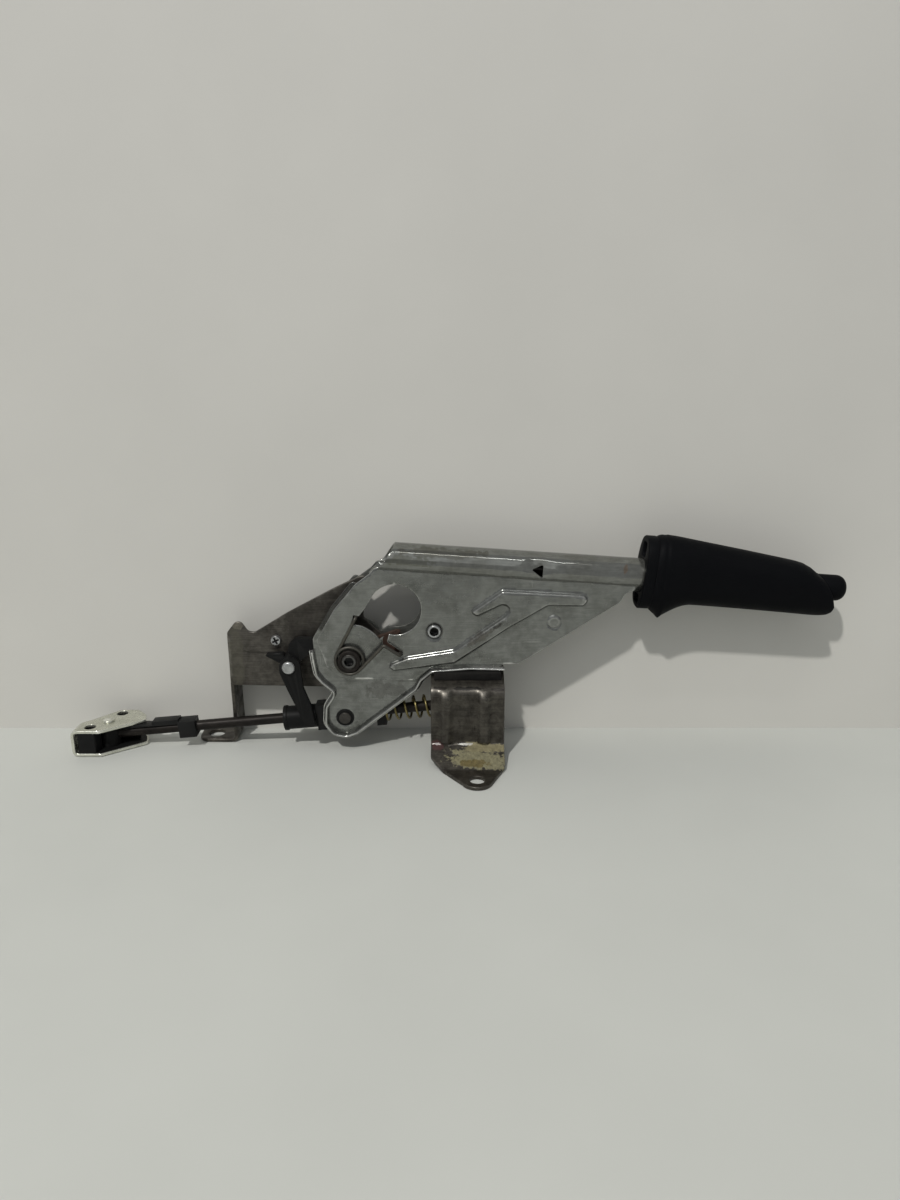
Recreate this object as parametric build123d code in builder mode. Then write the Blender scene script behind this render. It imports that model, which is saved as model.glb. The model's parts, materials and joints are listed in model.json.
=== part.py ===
from build123d import *
import math
import os

# Parking brake lever, in millimetres. +X points along the lever to its grip, +Z is up and -Y faces
# the side that shows the torsion spring. The origin is the centre of the rear foot's bolt hole on
# its underside. Outlines below are measured from the main pivot and the lever's mid-plane.

os.makedirs("parts", exist_ok=True)

# Fits
FIXED = 0.02
RUNNING = 0.05
GAP = 0.3
LEAST_BEND = 0.2

# Where the main pivot stands, from the rear foot's bolt hole
FOOT_LEFT = 53.0
FOOT_WIDTH = 48.0
FOOT_HOLE_ALONG = 29.5
PIVOT_X = -(FOOT_LEFT + FOOT_HOLE_ALONG)
LEVER_Y = 53.0
PIVOT_Z = 67.0

# Lever: a sheet folded into a round handle tube above two flat legs
TUBE_R = 11.0
LEVER_SHEET = 1.6
TUBE_SLOPE = 3.85
TUBE_HEIGHT = 67.0
TUBE_LEFT = 14.0
TUBE_RIGHT = 292.0
LEG_OUT = TUBE_R - 1.4
LEG_IN = LEG_OUT - LEVER_SHEET
LEG_RIGHT = 184.0
RIB_HEIGHT = 1.8
RIB_TAPER = 35
RIB_WALL = 2.2
RIB_CORNER = 4.0
RING_R = 16.0
WELD_AT = (132.7, 25.7)
WELD_R = 4.6
LANCED_MARK = [(116.3, 62.8), (123.5, 65.4), (123.7, 56.8)]

# Ear plates that carry the trunnion below the pivot
EAR_SHEET = 1.6
RIM_RISE = 2.4
EAR_PIN = (-4.6, -42.3)
EAR_HOLE_R = 5.8

# Bracket
BRACKET_SHEET = 2.5
PLATE_BACK = LEG_IN - 0.5
PLATE_FRONT = PLATE_BACK - BRACKET_SHEET
PLATE_LEFT = -80.5
PLATE_BELOW_LEVER = -5.0
FLANGE_BACK = 28.0
FRONT_TAB_LENGTH = 28.0
FRONT_TAB_CORNER = 8.0
FRONT_HOLE_AT = (PLATE_LEFT - 17.0, 15.5)
FRONT_HOLE_R = 5.5
REAR_HOLE_R = 4.85
WEB_FRONT = -22.5
WEB_TOP = -18.5
WEB_BOTTOM = -56.0
TAB_FLAT = -40.0
TAB_END_R = 10.0
FRONT_BEND_R = 5.0
REAR_BEND_R = 2.0
BEADS = [62.6, 87.6]
BEAD_R = 4.5
BEAD_RISE = 2.0
STOP_TOP = -7.9

# Main pivot and return spring
PIN_R = 5.0
PIN_FRONT = -15.6
PIN_BACK = 13.4
SOCKET_FLATS = 5.6
SOCKET_DEPTH = 4.0
BUSH_R = 6.5
GUIDE_R = 7.4
COIL_WIRE = 1.0
COIL_R = 9.0
COIL_TURNS = 1
COIL_BACK = -LEG_OUT - 1.2
FIXED_ARM = (4.6, 28.3)
LEVER_ARM = (22.8, 11.0)
LEVER_HOOK = (33.2, 3.8)
ARM_OVERLAP = 0.5
SLOT_IN_R = 24.0
SLOT_OUT_R = 30.0
SLOT_FROM = 35.0
SLOT_TO = 84.0
OPENING_AT = (29.9, 33.6)
OPENING_R = 17.0
BOSS_SLOT = [(24.5, 18.0), LEVER_ARM, LEVER_HOOK, (26.0, 0.8), (20.5, -6.0), (19.0, -16.0)]

# Ratchet and pawl
SECTOR_SHEET = 4.0
SECTOR_R = 36.0
TOOTH_DEPTH = 2.0
TOOTH_PITCH = 4.5
TOOTH_COUNT = 12
SECTOR_FROM = -26.0
PAWL_PIVOT = (55.3, 19.2)
PAWL_RIVET_R = 4.0
PAWL_SHEET = 3.5
PAWL_TOOTH_AT = -14.0
PAWL_TIP_R = 3.0
PAWL_NECK = 4.0
SECTOR_RIVETS = [(18.0, 4.0), (10.0, -15.0)]
SECTOR_RIVET_R = 2.0

# Grip and button, at the right end of the tube
GRIP_LEFT = TUBE_RIGHT - 104.0
GRIP_MOUTH = 7.0
SPUR_HALF = 9.0
BUTTON_R = 8.4
BUTTON_IN = TUBE_RIGHT + 4.0
BUTTON_OUT = TUBE_RIGHT + 29.5
PUSH_ROD_R = 2.5
SEAT_AT = TUBE_RIGHT - 42.0
SEAT_THICK = 4.0
BUTTON_COIL_R = 5.5
BUTTON_COIL_WIRE = 0.6
BUTTON_COIL_TURNS = 9

# Pull rod, trunnion and adjuster, measured along the rod from the trunnion
ROD_SLOPE = 5.3
ROD_R = 3.5
ROD_RIGHT = 101.0
TRUNNION_R = 3.9
TRUNNION_HALF = 7.5
TRUNNION_WIDE = 5.6
HOUSING_R = 7.9
HOUSING_FROM = -41.5
HOUSING_TO = -19.5
FLANGE_SIZE = 17.5
FLANGE_TO = -13.5
SEAT_FROM = 20.5
SEAT_TO = 27.0
SEAT_SIZE = 18.0
SPRING_R = 7.2
SPRING_WIRE = 0.8
SPRING_TO = 92.0
SPRING_TURNS = 9
WASHER_R = 9.0
NUT_FLATS = 13.0
CLIP_FROM = -113.5
CLIP_TO = -102.0

# Equaliser, with its pivot measured from the main pivot
EQ_X = -166.0
EQ_Y = -1.0
EQ_HEIGHT = 18.5
EQ_SHEET = 2.0
EQ_PIN_R = 3.0
EQ_EYE_R = 5.8
EQ_EYE_HEIGHT = 8.0
RETAINER_WALL = 1.2
CABLE_HOLE_R = 3.75
CABLE_NEAR = (-175.0, -10.5)
CABLE_FAR = (-161.0, 12.0)

# Hook lever and the screw beside it
HOOK_PIN = (-39.8, -4.8)
HOOK_PIN_R = 3.0
HOOK_HEAD_R = 4.5
HOOK_HUB_R = 6.2
HOOK_FRONT = -13.0
HOOK_PLATE = 6.0
HOOK_ARM = 3.3
SCREW_AT = (-50.4, 8.1)
SCREW_R = 2.0
SCREW_HEAD_R = 3.6

# Corners of the cut sheets and mouldings
LEG_CORNER = 5.0
EAR_CORNER = 6.0
PLATE_CORNER = 4.0
FOOT_CORNER = 4.0
HOOK_CORNER = 2.5
INSERT_CORNER = 1.0

EQ_OUTLINE = [
    (EQ_X - 20, -17.5),
    (EQ_X - 1, -17.5),
    (EQ_X + 24.5, 1.5),
    (EQ_X + 22, 10.0),
    (EQ_X + 14, 18.0),
    (EQ_X + 2, 17.5),
    (EQ_X - 12, 1.0),
    (EQ_X - 20, -6.0),
]
INSERT_NEAR = [
    (EQ_X - 16.0, -17.0),
    (EQ_X - 4.5, -17.0),
    (EQ_X - 2.6, -9.5),
    (EQ_X - 6.6, -4.6),
    (EQ_X - 13.0, -2.5),
    (EQ_X - 16.0, -5.0),
]
INSERT_FAR = [
    (EQ_X - 3.0, 8.2),
    (EQ_X + 6.0, 6.8),
    (EQ_X + 18.0, 7.4),
    (EQ_X + 12.5, 16.8),
    (EQ_X + 2.2, 16.6),
]


def side(y):
    """Plane that faces the viewer at a depth: local x is +X and local y is +Z, from the pivot."""
    return Plane(origin=(PIVOT_X, LEVER_Y + y, PIVOT_Z), x_dir=(1, 0, 0), z_dir=(0, -1, 0))


def plan(z):
    """Level plane at a height above the pivot: local x is +X and local y is +Y."""
    return Plane(origin=(PIVOT_X, LEVER_Y, PIVOT_Z + z), x_dir=(1, 0, 0), z_dir=(0, 0, 1))


def tube_axis(x):
    """Height of the handle tube's axis above the pivot."""
    return TUBE_HEIGHT - x * math.tan(math.radians(TUBE_SLOPE))


def across_tube(x):
    """Plane square to the handle tube, centred on its axis, local y upwards."""
    slope = math.radians(TUBE_SLOPE)
    return Plane(
        origin=(PIVOT_X + x, LEVER_Y, PIVOT_Z + tube_axis(x)),
        x_dir=(0, 1, 0),
        z_dir=(math.cos(slope), 0, -math.sin(slope)),
    )


def along_tube(x_from, x_to):
    """Length along the handle tube between two distances from the pivot."""
    return (x_to - x_from) / math.cos(math.radians(TUBE_SLOPE))


def across_rod(s):
    """Plane square to the pull rod, at a distance along it from the trunnion."""
    slope = math.radians(ROD_SLOPE)
    return Plane(
        origin=(
            PIVOT_X + EAR_PIN[0] + s * math.cos(slope),
            LEVER_Y,
            PIVOT_Z + EAR_PIN[1] + s * math.sin(slope),
        ),
        x_dir=(0, 1, 0),
        z_dir=(math.cos(slope), 0, math.sin(slope)),
    )


def rod_height(x):
    """Height of the pull rod's axis above the pivot."""
    return EAR_PIN[1] + (x - EAR_PIN[0]) * math.tan(math.radians(ROD_SLOPE))


def polar(radius, angle):
    """Point round the main pivot."""
    return (radius * math.cos(math.radians(angle)), radius * math.sin(math.radians(angle)))


def outline(points, mode=Mode.ADD):
    """Adds or cuts a closed straight-sided shape in the sketch in hand."""
    return Polygon(*points, align=None, mode=mode)


def soft_loop(points, radius):
    """Adds a closed line to the line in hand, with corners as round as its sides allow."""
    corners = [Vector(*point) for point in points]
    bends = []
    for index, corner in enumerate(corners):
        before = corners[index - 1] - corner
        after = corners[(index + 1) % len(corners)] - corner
        half = math.radians(before.get_angle(after)) / 2
        back = min(radius / math.tan(half), 0.45 * before.length, 0.45 * after.length)
        if back < LEAST_BEND:
            bends.append([corner])
            continue
        depth = back * (1 / math.cos(half) - math.tan(half))
        middle = (before.normalized() + after.normalized()).normalized()
        bends.append([
            corner + before.normalized() * back,
            corner + middle * depth,
            corner + after.normalized() * back,
        ])
    for index, bend in enumerate(bends):
        if len(bend) > 1:
            ThreePointArc(*bend)
        Line(bend[-1], bends[(index + 1) % len(bends)][0])


def slot(start, end, width, mode=Mode.ADD):
    """Adds a round-ended slot between two points to the sketch in hand."""
    (x0, z0), (x1, z1) = start, end
    length = math.hypot(x1 - x0, z1 - z0)
    turn = math.degrees(math.atan2(z1 - z0, x1 - x0))
    with Locations(((x0 + x1) / 2, (z0 + z1) / 2)):
        SlotCenterToCenter(length, width, rotation=turn, mode=mode)


def band(points, width, mode=Mode.ADD):
    """Adds a round-ended band along a path to the sketch in hand."""
    for start, end in zip(points, points[1:]):
        slot(start, end, width, mode)


def finish(part, name):
    """Names a finished piece and writes it."""
    part.label = name
    export_step(part, f"parts/{name}.step")


# Outlines, from the main pivot

LEG_OUTLINE = [
    (TUBE_LEFT, 57.5),
    (4.9, 50.7),
    (-8.9, 34.1),
    (-21.6, 12.6),
    (-15.0, -6.2),
    (-7.4, -12.0),
    (1.5, -14.4),
    (15.8, -14.4),
    (42.3, -15.1),
    (54.0, -5.2),
    (78.6, -3.0),
    (99.6, -3.6),
    (109.5, -3.6),
    (115.3, -0.4),
    (174.7, 38.7),
    (177.5, 44.5),
    (LEG_RIGHT, 46.5),
    (LEG_RIGHT, tube_axis(LEG_RIGHT)),
    (TUBE_LEFT, tube_axis(TUBE_LEFT)),
]

EAR_OUTLINE = [
    (-23.6, 5.4),
    (-24.0, 13.5),
    (-11.0, 35.6),
    (3.0, 52.6),
    (8.0, 49.0),
    (-4.0, 30.0),
    (-8.0, 14.0),
    (12.0, 10.0),
    (22.0, 4.0),
    (60.0, 3.0),
    (101.0, 2.0),
    (101.0, -6.0),
    (78.6, -5.4),
    (53.0, -7.6),
    (45.5, -14.0),
    (42.4, -20.2),
    (2.5, -51.6),
    (-4.0, -54.2),
    (-11.6, -52.5),
    (-16.3, -45.8),
    (-15.5, -34.0),
    (-10.2, -26.0),
    (-10.5, -21.9),
    (-17.7, -15.4),
    (-21.3, -10.6),
    (-22.8, -1.7),
]

RIM_CUT = [
    (-40.0, 5.5),
    (-21.0, 5.5),
    (-12.9, -12.3),
    (15.8, -16.0),
    (42.3, -16.7),
    (54.5, -5.25),
    (78.6, -3.05),
    (101.1, -3.7),
    (120.0, 70.0),
    (-40.0, 70.0),
]

# Raised panel of the front leg: a low arm and a high arm that run into one another
RIB_OUTLINE = [
    (26.4, -2.4),
    (38.0, 2.2),
    (67.6, 7.0),
    (99.5, 29.6),
    (103.7, 34.2),
    (99.6, 37.0),
    (82.6, 28.4),
    (77.7, 32.5),
    (98.7, 47.6),
    (152.1, 44.6),
    (155.0, 40.1),
    (151.7, 35.6),
    (128.7, 36.0),
    (104.3, 21.3),
    (68.8, -3.2),
    (28.5, -8.8),
    (24.6, -5.8),
]

# Grip sections: distance from its front end, reach above and below the tube's axis, half width
GRIP_SECTIONS = [
    (0.0, 26.0, 21.5, 16.5),
    (20.0, 27.5, 18.5, 16.5),
    (45.0, 24.2, 17.2, 15.5),
    (75.0, 19.6, 17.3, 14.5),
    (102.0, 15.6, 17.6, 13.8),
    (117.0, 10.8, 18.2, 12.6),
    (124.0, 8.9, 16.5, 11.0),
]
SPUR_OUTLINE = [
    (GRIP_LEFT + 5, 44.0),
    (GRIP_LEFT + 5, 31.5),
    (GRIP_LEFT + 11, 24.4),
    (GRIP_LEFT + 15, 24.9),
    (GRIP_LEFT + 19, 29.5),
    (GRIP_LEFT + 31, 36.0),
    (GRIP_LEFT + 31, 44.0),
]

PLATE_OUTLINE = [
    (PLATE_LEFT, 14.0),
    (-77.0, 20.4),
    (-72.7, 20.4),
    (-69.0, 13.9),
    (-64.6, 13.2),
    (-41.5, 27.4),
    (-11.4, 43.5),
    (11.5, 54.5),
    (8.0, 24.0),
    (24.0, 9.0),
    (30.0, 7.0),
    (FOOT_LEFT + FOOT_WIDTH - 14, 7.0),
    (FOOT_LEFT + FOOT_WIDTH, PLATE_BELOW_LEVER + 2),
    (FOOT_LEFT + FOOT_WIDTH, PLATE_BELOW_LEVER),
    (FOOT_LEFT, PLATE_BELOW_LEVER),
    (30.0, -18.0),
    (-6.0, -20.0),
    (-20.0, -25.5),
    (PLATE_LEFT, -24.3),
]
SHELF_CUT = [
    (FOOT_LEFT, PLATE_BELOW_LEVER),
    (FOOT_LEFT, -30.0),
    (FOOT_LEFT + FOOT_WIDTH, -30.0),
    (FOOT_LEFT + FOOT_WIDTH, PLATE_BELOW_LEVER),
]

HOOK_NOSE = [
    (-41.0, 3.0),
    (-40.2, 9.0),
    (-35.0, 12.4),
    (-24.5, 12.1),
    (-20.0, 7.5),
    (-16.5, -2.0),
    (-16.0, -6.6),
    (-22.0, -5.0),
    (-26.0, 3.0),
    (-34.0, -4.0),
]
HOOK_WING = [(-43.0, 2.0), (-56.9, 1.2), (-54.0, -0.5), (-44.0, -6.0)]
HOOK_LONG_ARM = [
    (-46.0, -4.5),
    (-46.0, -8.5),
    (-41.6, -20.4),
    (-36.2, -33.0),
    (-31.0, -46.5),
    (-23.8, -48.0),
    (-26.4, -32.5),
    (-31.0, -19.8),
    (-32.6, -2.0),
    (-36.0, 1.0),
    (-43.0, 1.0),
]


# Lever body

with BuildPart() as lever_body:
    with BuildSketch(across_tube(TUBE_LEFT)):
        Circle(TUBE_R)
    extrude(amount=along_tube(TUBE_LEFT, TUBE_RIGHT))
    with BuildSketch(side(LEG_OUT)):
        with BuildLine():
            soft_loop(LEG_OUTLINE, LEG_CORNER)
        make_face()
    extrude(amount=2 * LEG_OUT)
    # The inside of the tube, and the gap between the legs below it
    with BuildSketch(across_tube(TUBE_LEFT - 5)):
        Circle(TUBE_R - LEVER_SHEET)
    extrude(amount=along_tube(TUBE_LEFT - 5, TUBE_RIGHT + 5), mode=Mode.SUBTRACT)
    with BuildSketch(side(LEG_IN)):
        outline([
            (-40, tube_axis(-40)),
            (-40, -30),
            (LEG_RIGHT - 8, -30),
            (LEG_RIGHT - 8, tube_axis(LEG_RIGHT - 8)),
        ])
    extrude(amount=2 * LEG_IN, mode=Mode.SUBTRACT)
    # Slanting left end of the tube
    with BuildSketch(side(TUBE_R + 2)):
        outline([(TUBE_LEFT - 1, 90), (TUBE_LEFT - 1, 56), (22.7, 63.8), (30.2, 76.5), (34, 90)])
    extrude(amount=2 * TUBE_R + 4, mode=Mode.SUBTRACT)
    # Large opening, joined by the arc slot that the spring's fixed arm travels in
    with BuildSketch(side(LEG_OUT + 1)):
        with Locations(OPENING_AT):
            Circle(OPENING_R)
        with BuildLine():
            arc_out = CenterArc((0, 0), SLOT_OUT_R, SLOT_FROM, SLOT_TO - SLOT_FROM)
            arc_in = CenterArc((0, 0), SLOT_IN_R, SLOT_FROM, SLOT_TO - SLOT_FROM)
            Line(arc_out @ 0, arc_in @ 0)
            Line(arc_out @ 1, arc_in @ 1)
        make_face()
        with Locations((0, 0)):
            Circle(BUSH_R + FIXED)
        with Locations(PAWL_PIVOT):
            Circle(PAWL_RIVET_R + FIXED)
    extrude(amount=2 * LEG_OUT + 2, mode=Mode.SUBTRACT)
    # Slot that parts the pivot boss from the main panel, in the front leg only
    with BuildSketch(side(-LEG_IN + 0.2)):
        band(BOSS_SLOT, 2 * COIL_WIRE + 0.8)
    extrude(amount=LEVER_SHEET + 1, mode=Mode.SUBTRACT)
    # Raised panel on the front leg, hollow behind
    with BuildSketch(side(-LEG_OUT + 0.1)):
        with BuildLine():
            soft_loop(RIB_OUTLINE, RIB_CORNER)
        make_face()
    extrude(amount=RIB_HEIGHT + 0.1, taper=RIB_TAPER)
    with BuildSketch(side(-LEG_IN + 0.1)):
        with BuildLine():
            soft_loop(RIB_OUTLINE, RIB_CORNER)
        make_face()
        offset(amount=-RIB_WALL, mode=Mode.REPLACE)
    extrude(amount=RIB_HEIGHT, mode=Mode.SUBTRACT)
    # Ring pressed round the pivot
    with BuildSketch(side(-LEG_OUT + 0.1)):
        Circle(RING_R + 0.6)
        Circle(RING_R - 0.6, mode=Mode.SUBTRACT)
        band(BOSS_SLOT, 2 * COIL_WIRE + 0.8, mode=Mode.SUBTRACT)
        Rectangle(3 * RING_R, 2 * RING_R, align=(Align.CENTER, Align.MAX), mode=Mode.SUBTRACT)
    extrude(amount=0.3)
    # Weld dimple and the lanced mark in the tube's side
    with BuildSketch(side(-LEG_OUT + 0.1)):
        with Locations(WELD_AT):
            Circle(WELD_R)
    extrude(amount=0.6)
    with BuildSketch(side(0)):
        outline(LANCED_MARK)
    extrude(amount=TUBE_R + 1, mode=Mode.SUBTRACT)
finish(lever_body.part, "lever_body")


# Ear plates, one inside the front leg and one outside the rear leg

with BuildPart() as ear_plate_front:
    with BuildSketch(side(-LEG_IN + EAR_SHEET)):
        with BuildLine():
            soft_loop(EAR_OUTLINE, EAR_CORNER)
        make_face()
    extrude(amount=EAR_SHEET)
    # A rim stands on the sheet's lower edge, clear of the leg that covers the rest
    with BuildSketch(side(-LEG_IN)):
        with BuildLine():
            soft_loop(EAR_OUTLINE, EAR_CORNER)
        make_face()
        offset(amount=-EAR_SHEET, kind=Kind.INTERSECTION, mode=Mode.SUBTRACT)
        outline(RIM_CUT, mode=Mode.SUBTRACT)
    extrude(amount=LEVER_SHEET + RIM_RISE)
    with BuildSketch(side(-LEG_IN + EAR_SHEET + 1)):
        Circle(BUSH_R + FIXED)
        with Locations(EAR_PIN):
            Circle(EAR_HOLE_R)
    extrude(amount=EAR_SHEET + 2, mode=Mode.SUBTRACT)
finish(ear_plate_front.part, "ear_plate_front")

with BuildPart() as ear_plate_rear:
    with BuildSketch(side(LEG_OUT + EAR_SHEET)):
        with BuildLine():
            soft_loop(EAR_OUTLINE, EAR_CORNER)
        make_face()
        Circle(BUSH_R + FIXED, mode=Mode.SUBTRACT)
        with Locations(EAR_PIN):
            Circle(EAR_HOLE_R, mode=Mode.SUBTRACT)
    extrude(amount=EAR_SHEET)
finish(ear_plate_rear.part, "ear_plate_rear")


# Bushes between the lever and its pivot pin

BUSH_DEPTHS = [
    (-LEG_IN + EAR_SHEET + 0.4, -LEG_OUT - 0.4),
    (LEG_OUT + EAR_SHEET + 0.2, LEG_IN - 0.1),
]
with BuildPart() as lever_bushes:
    for back, front in BUSH_DEPTHS:
        with BuildSketch(side(back)):
            Circle(BUSH_R)
            Circle(PIN_R + RUNNING, mode=Mode.SUBTRACT)
        extrude(amount=back - front)
finish(lever_bushes.part, "lever_bushes")


# Hollow rivet that the pawl turns on, and its spacers

with BuildPart() as pawl_rivet:
    with BuildSketch(side(LEG_OUT)):
        with Locations(PAWL_PIVOT):
            Circle(PAWL_RIVET_R)
    extrude(amount=2 * LEG_OUT)
    with BuildSketch(side(-LEG_OUT)):
        with Locations(PAWL_PIVOT):
            Circle(PAWL_RIVET_R + 0.6)
    extrude(amount=1.6, taper=20)
    with BuildSketch(side(LEG_OUT + 1.2)):
        with Locations(PAWL_PIVOT):
            Circle(PAWL_RIVET_R + 0.6)
    extrude(amount=1.2)
    with BuildSketch(side(-LEG_OUT - 1.6 + 5.0)):
        with Locations(PAWL_PIVOT):
            Circle(2.8)
    extrude(amount=6, mode=Mode.SUBTRACT)
finish(pawl_rivet.part, "pawl_rivet")

PAWL_BACK = PLATE_FRONT - 0.4
PAWL_FRONT = PAWL_BACK - PAWL_SHEET

with BuildPart() as pawl_spacers:
    for back, front in ((PAWL_FRONT - 0.1, -LEG_IN), (LEG_IN, PAWL_BACK + 0.1)):
        with BuildSketch(side(back)):
            with Locations(PAWL_PIVOT):
                Circle(PAWL_RIVET_R + 1.8)
                Circle(PAWL_RIVET_R + FIXED, mode=Mode.SUBTRACT)
        extrude(amount=back - front)
finish(pawl_spacers.part, "pawl_spacers")


# Pawl: a bell crank from the ratchet teeth up to the push rod in the tube

PAWL_RISE = tube_axis(PAWL_PIVOT[0]) - PAWL_PIVOT[1]
PAWL_ARM_AT = PAWL_PIVOT[0] + PAWL_RISE * math.sin(math.radians(TUBE_SLOPE))
PAWL_ARM_TIP = (PAWL_ARM_AT, tube_axis(PAWL_ARM_AT))

with BuildPart() as pawl:
    with BuildSketch(side(PAWL_BACK)):
        band([PAWL_ARM_TIP, PAWL_PIVOT], PAWL_NECK)
        with Locations(PAWL_ARM_TIP):
            Circle(PAWL_TIP_R)
        band([PAWL_PIVOT, polar(SECTOR_R + 6, PAWL_TOOTH_AT + 2)], 9.0)
        outline([
            polar(SECTOR_R + GAP, PAWL_TOOTH_AT),
            polar(SECTOR_R + 9, PAWL_TOOTH_AT + 5),
            polar(SECTOR_R + 9, PAWL_TOOTH_AT - 5),
            polar(SECTOR_R + 3.5, PAWL_TOOTH_AT - 5),
        ])
        with Locations(PAWL_PIVOT):
            Circle(PAWL_RIVET_R + 4)
            Circle(PAWL_RIVET_R + RUNNING, mode=Mode.SUBTRACT)
    extrude(amount=PAWL_SHEET)
finish(pawl.part, "pawl")


# Grip: a moulded sleeve over the end of the tube, open at its front end

with BuildPart() as grip:
    for x, up, down, half_width in GRIP_SECTIONS:
        with BuildSketch(across_tube(GRIP_LEFT + x)):
            with Locations((0, (up - down) / 2)):
                Ellipse(half_width, (up + down) / 2)
    loft()
    # Spur under the front end that stops the hand
    with BuildSketch(side(SPUR_HALF)):
        with BuildLine():
            soft_loop(SPUR_OUTLINE, HOOK_CORNER)
        make_face()
    extrude(amount=2 * SPUR_HALF)
    # Collar round the open mouth
    with BuildSketch(across_tube(GRIP_LEFT - 4)):
        with Locations((0, 2.4)):
            Ellipse(15.9, 23.1)
    extrude(amount=6)
    # Mouth, tube bore and button bore
    with BuildSketch(across_tube(GRIP_LEFT - 5)):
        with Locations((0, 2.4)):
            Ellipse(13.9, 20.5)
    extrude(amount=GRIP_MOUTH + 5, mode=Mode.SUBTRACT)
    with BuildSketch(across_tube(GRIP_LEFT)):
        Circle(TUBE_R + FIXED)
    extrude(amount=along_tube(GRIP_LEFT, TUBE_RIGHT), mode=Mode.SUBTRACT)
    with BuildSketch(across_tube(TUBE_RIGHT - 1)):
        Circle(BUTTON_R + GAP)
    extrude(amount=40, mode=Mode.SUBTRACT)
finish(grip.part, "grip")


# Release button, its rod and its spring

with BuildPart() as push_button:
    with BuildSketch(across_tube(BUTTON_IN)):
        Circle(BUTTON_R)
    extrude(amount=along_tube(BUTTON_IN, BUTTON_OUT))
    fillet(push_button.faces().sort_by(Axis.X)[-1].edges(), radius=BUTTON_R * 0.7)
finish(push_button.part, "push_button")

with BuildPart() as push_rod:
    with BuildSketch(across_tube(PAWL_ARM_AT + 4)):
        Circle(PUSH_ROD_R)
    extrude(amount=along_tube(PAWL_ARM_AT + 4, BUTTON_IN))
    with BuildSketch(across_tube(PAWL_ARM_AT - 8)):
        with Locations((0.6, 0)):
            Rectangle(8.6, 11)
    extrude(amount=16)
    # Fork that the pawl's arm stands in
    with BuildSketch(side(LEG_IN)):
        slot(PAWL_ARM_TIP, (PAWL_ARM_TIP[0] - 1, PAWL_ARM_TIP[1] - 14), 2 * (PAWL_TIP_R + GAP))
    extrude(amount=2 * LEG_IN, mode=Mode.SUBTRACT)
finish(push_rod.part, "push_rod")

with BuildPart() as spring_seat:
    with BuildSketch(across_tube(SEAT_AT)):
        Circle(TUBE_R - LEVER_SHEET - RUNNING)
        Circle(PUSH_ROD_R + GAP, mode=Mode.SUBTRACT)
    extrude(amount=SEAT_THICK)
finish(spring_seat.part, "button_spring_seat")


def coil_path(base, length, turns, radius):
    """Helix that starts on a plane and runs along its normal."""
    return Helix(
        pitch=length / turns,
        height=length,
        radius=radius,
        center=base.origin,
        direction=base.z_dir,
    )


BUTTON_COIL_FROM = SEAT_AT + SEAT_THICK + BUTTON_COIL_WIRE
BUTTON_COIL_LENGTH = along_tube(BUTTON_COIL_FROM, BUTTON_IN) - BUTTON_COIL_WIRE - FIXED
with BuildPart() as button_spring:
    with BuildLine() as coil:
        coil_path(across_tube(BUTTON_COIL_FROM), BUTTON_COIL_LENGTH, BUTTON_COIL_TURNS, BUTTON_COIL_R)
    with BuildSketch(Plane(origin=coil.line @ 0, z_dir=coil.line % 0)):
        RegularPolygon(BUTTON_COIL_WIRE, 6)
    sweep(path=coil.line, is_frenet=True)
finish(button_spring.part, "button_spring")


# Bracket plate with its upstand

with BuildPart() as bracket_plate:
    with BuildSketch(side(PLATE_BACK)):
        with BuildLine():
            soft_loop(PLATE_OUTLINE, PLATE_CORNER)
        make_face()
        outline(SHELF_CUT, mode=Mode.SUBTRACT)
        Circle(PIN_R + FIXED, mode=Mode.SUBTRACT)
        with Locations(HOOK_PIN):
            Circle(HOOK_PIN_R + FIXED, mode=Mode.SUBTRACT)
        with Locations(SCREW_AT):
            Circle(SCREW_R + FIXED, mode=Mode.SUBTRACT)
        with Locations(*SECTOR_RIVETS):
            Circle(SECTOR_RIVET_R + FIXED, mode=Mode.SUBTRACT)
        with Locations(FIXED_ARM):
            Circle(COIL_WIRE + 0.2, mode=Mode.SUBTRACT)
    extrude(amount=BRACKET_SHEET)
finish(bracket_plate.part, "bracket_plate")


# Front foot: a flange square to the plate, bent into a level tab on the floor

with BuildPart() as front_foot:
    with BuildSketch(side(FLANGE_BACK)):
        with BuildLine() as bend:
            FilletPolyline(
                (PLATE_LEFT, 14.0),
                (PLATE_LEFT, -PIVOT_Z),
                (PLATE_LEFT - FRONT_TAB_LENGTH, -PIVOT_Z),
                radius=FRONT_BEND_R,
            )
            offset(amount=BRACKET_SHEET, side=Side.RIGHT)
        make_face()
    extrude(amount=FLANGE_BACK - PLATE_FRONT)
    with BuildSketch(plan(-PIVOT_Z - 1)):
        with Locations(FRONT_HOLE_AT):
            Circle(FRONT_HOLE_R)
    extrude(amount=BRACKET_SHEET + 6, mode=Mode.SUBTRACT)
    tab_end = front_foot.edges().filter_by(Axis.Z).sort_by(Axis.X)[:2]
    fillet(tab_end, radius=FRONT_TAB_CORNER)
    # The flange narrows above the tab
    with BuildSketch(Plane.YZ.offset(PIVOT_X + PLATE_LEFT - BRACKET_SHEET - 1)):
        outline([
            (LEVER_Y + FLANGE_BACK + 1, PIVOT_Z + 15),
            (LEVER_Y + FLANGE_BACK - 9, PIVOT_Z + 15),
            (LEVER_Y + FLANGE_BACK + 1, PIVOT_Z - 8),
        ])
    extrude(amount=BRACKET_SHEET + 2, mode=Mode.SUBTRACT)
finish(front_foot.part, "front_foot")


# Rear foot: shelf under the lever, beaded web and a tapering tab on the floor

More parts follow.
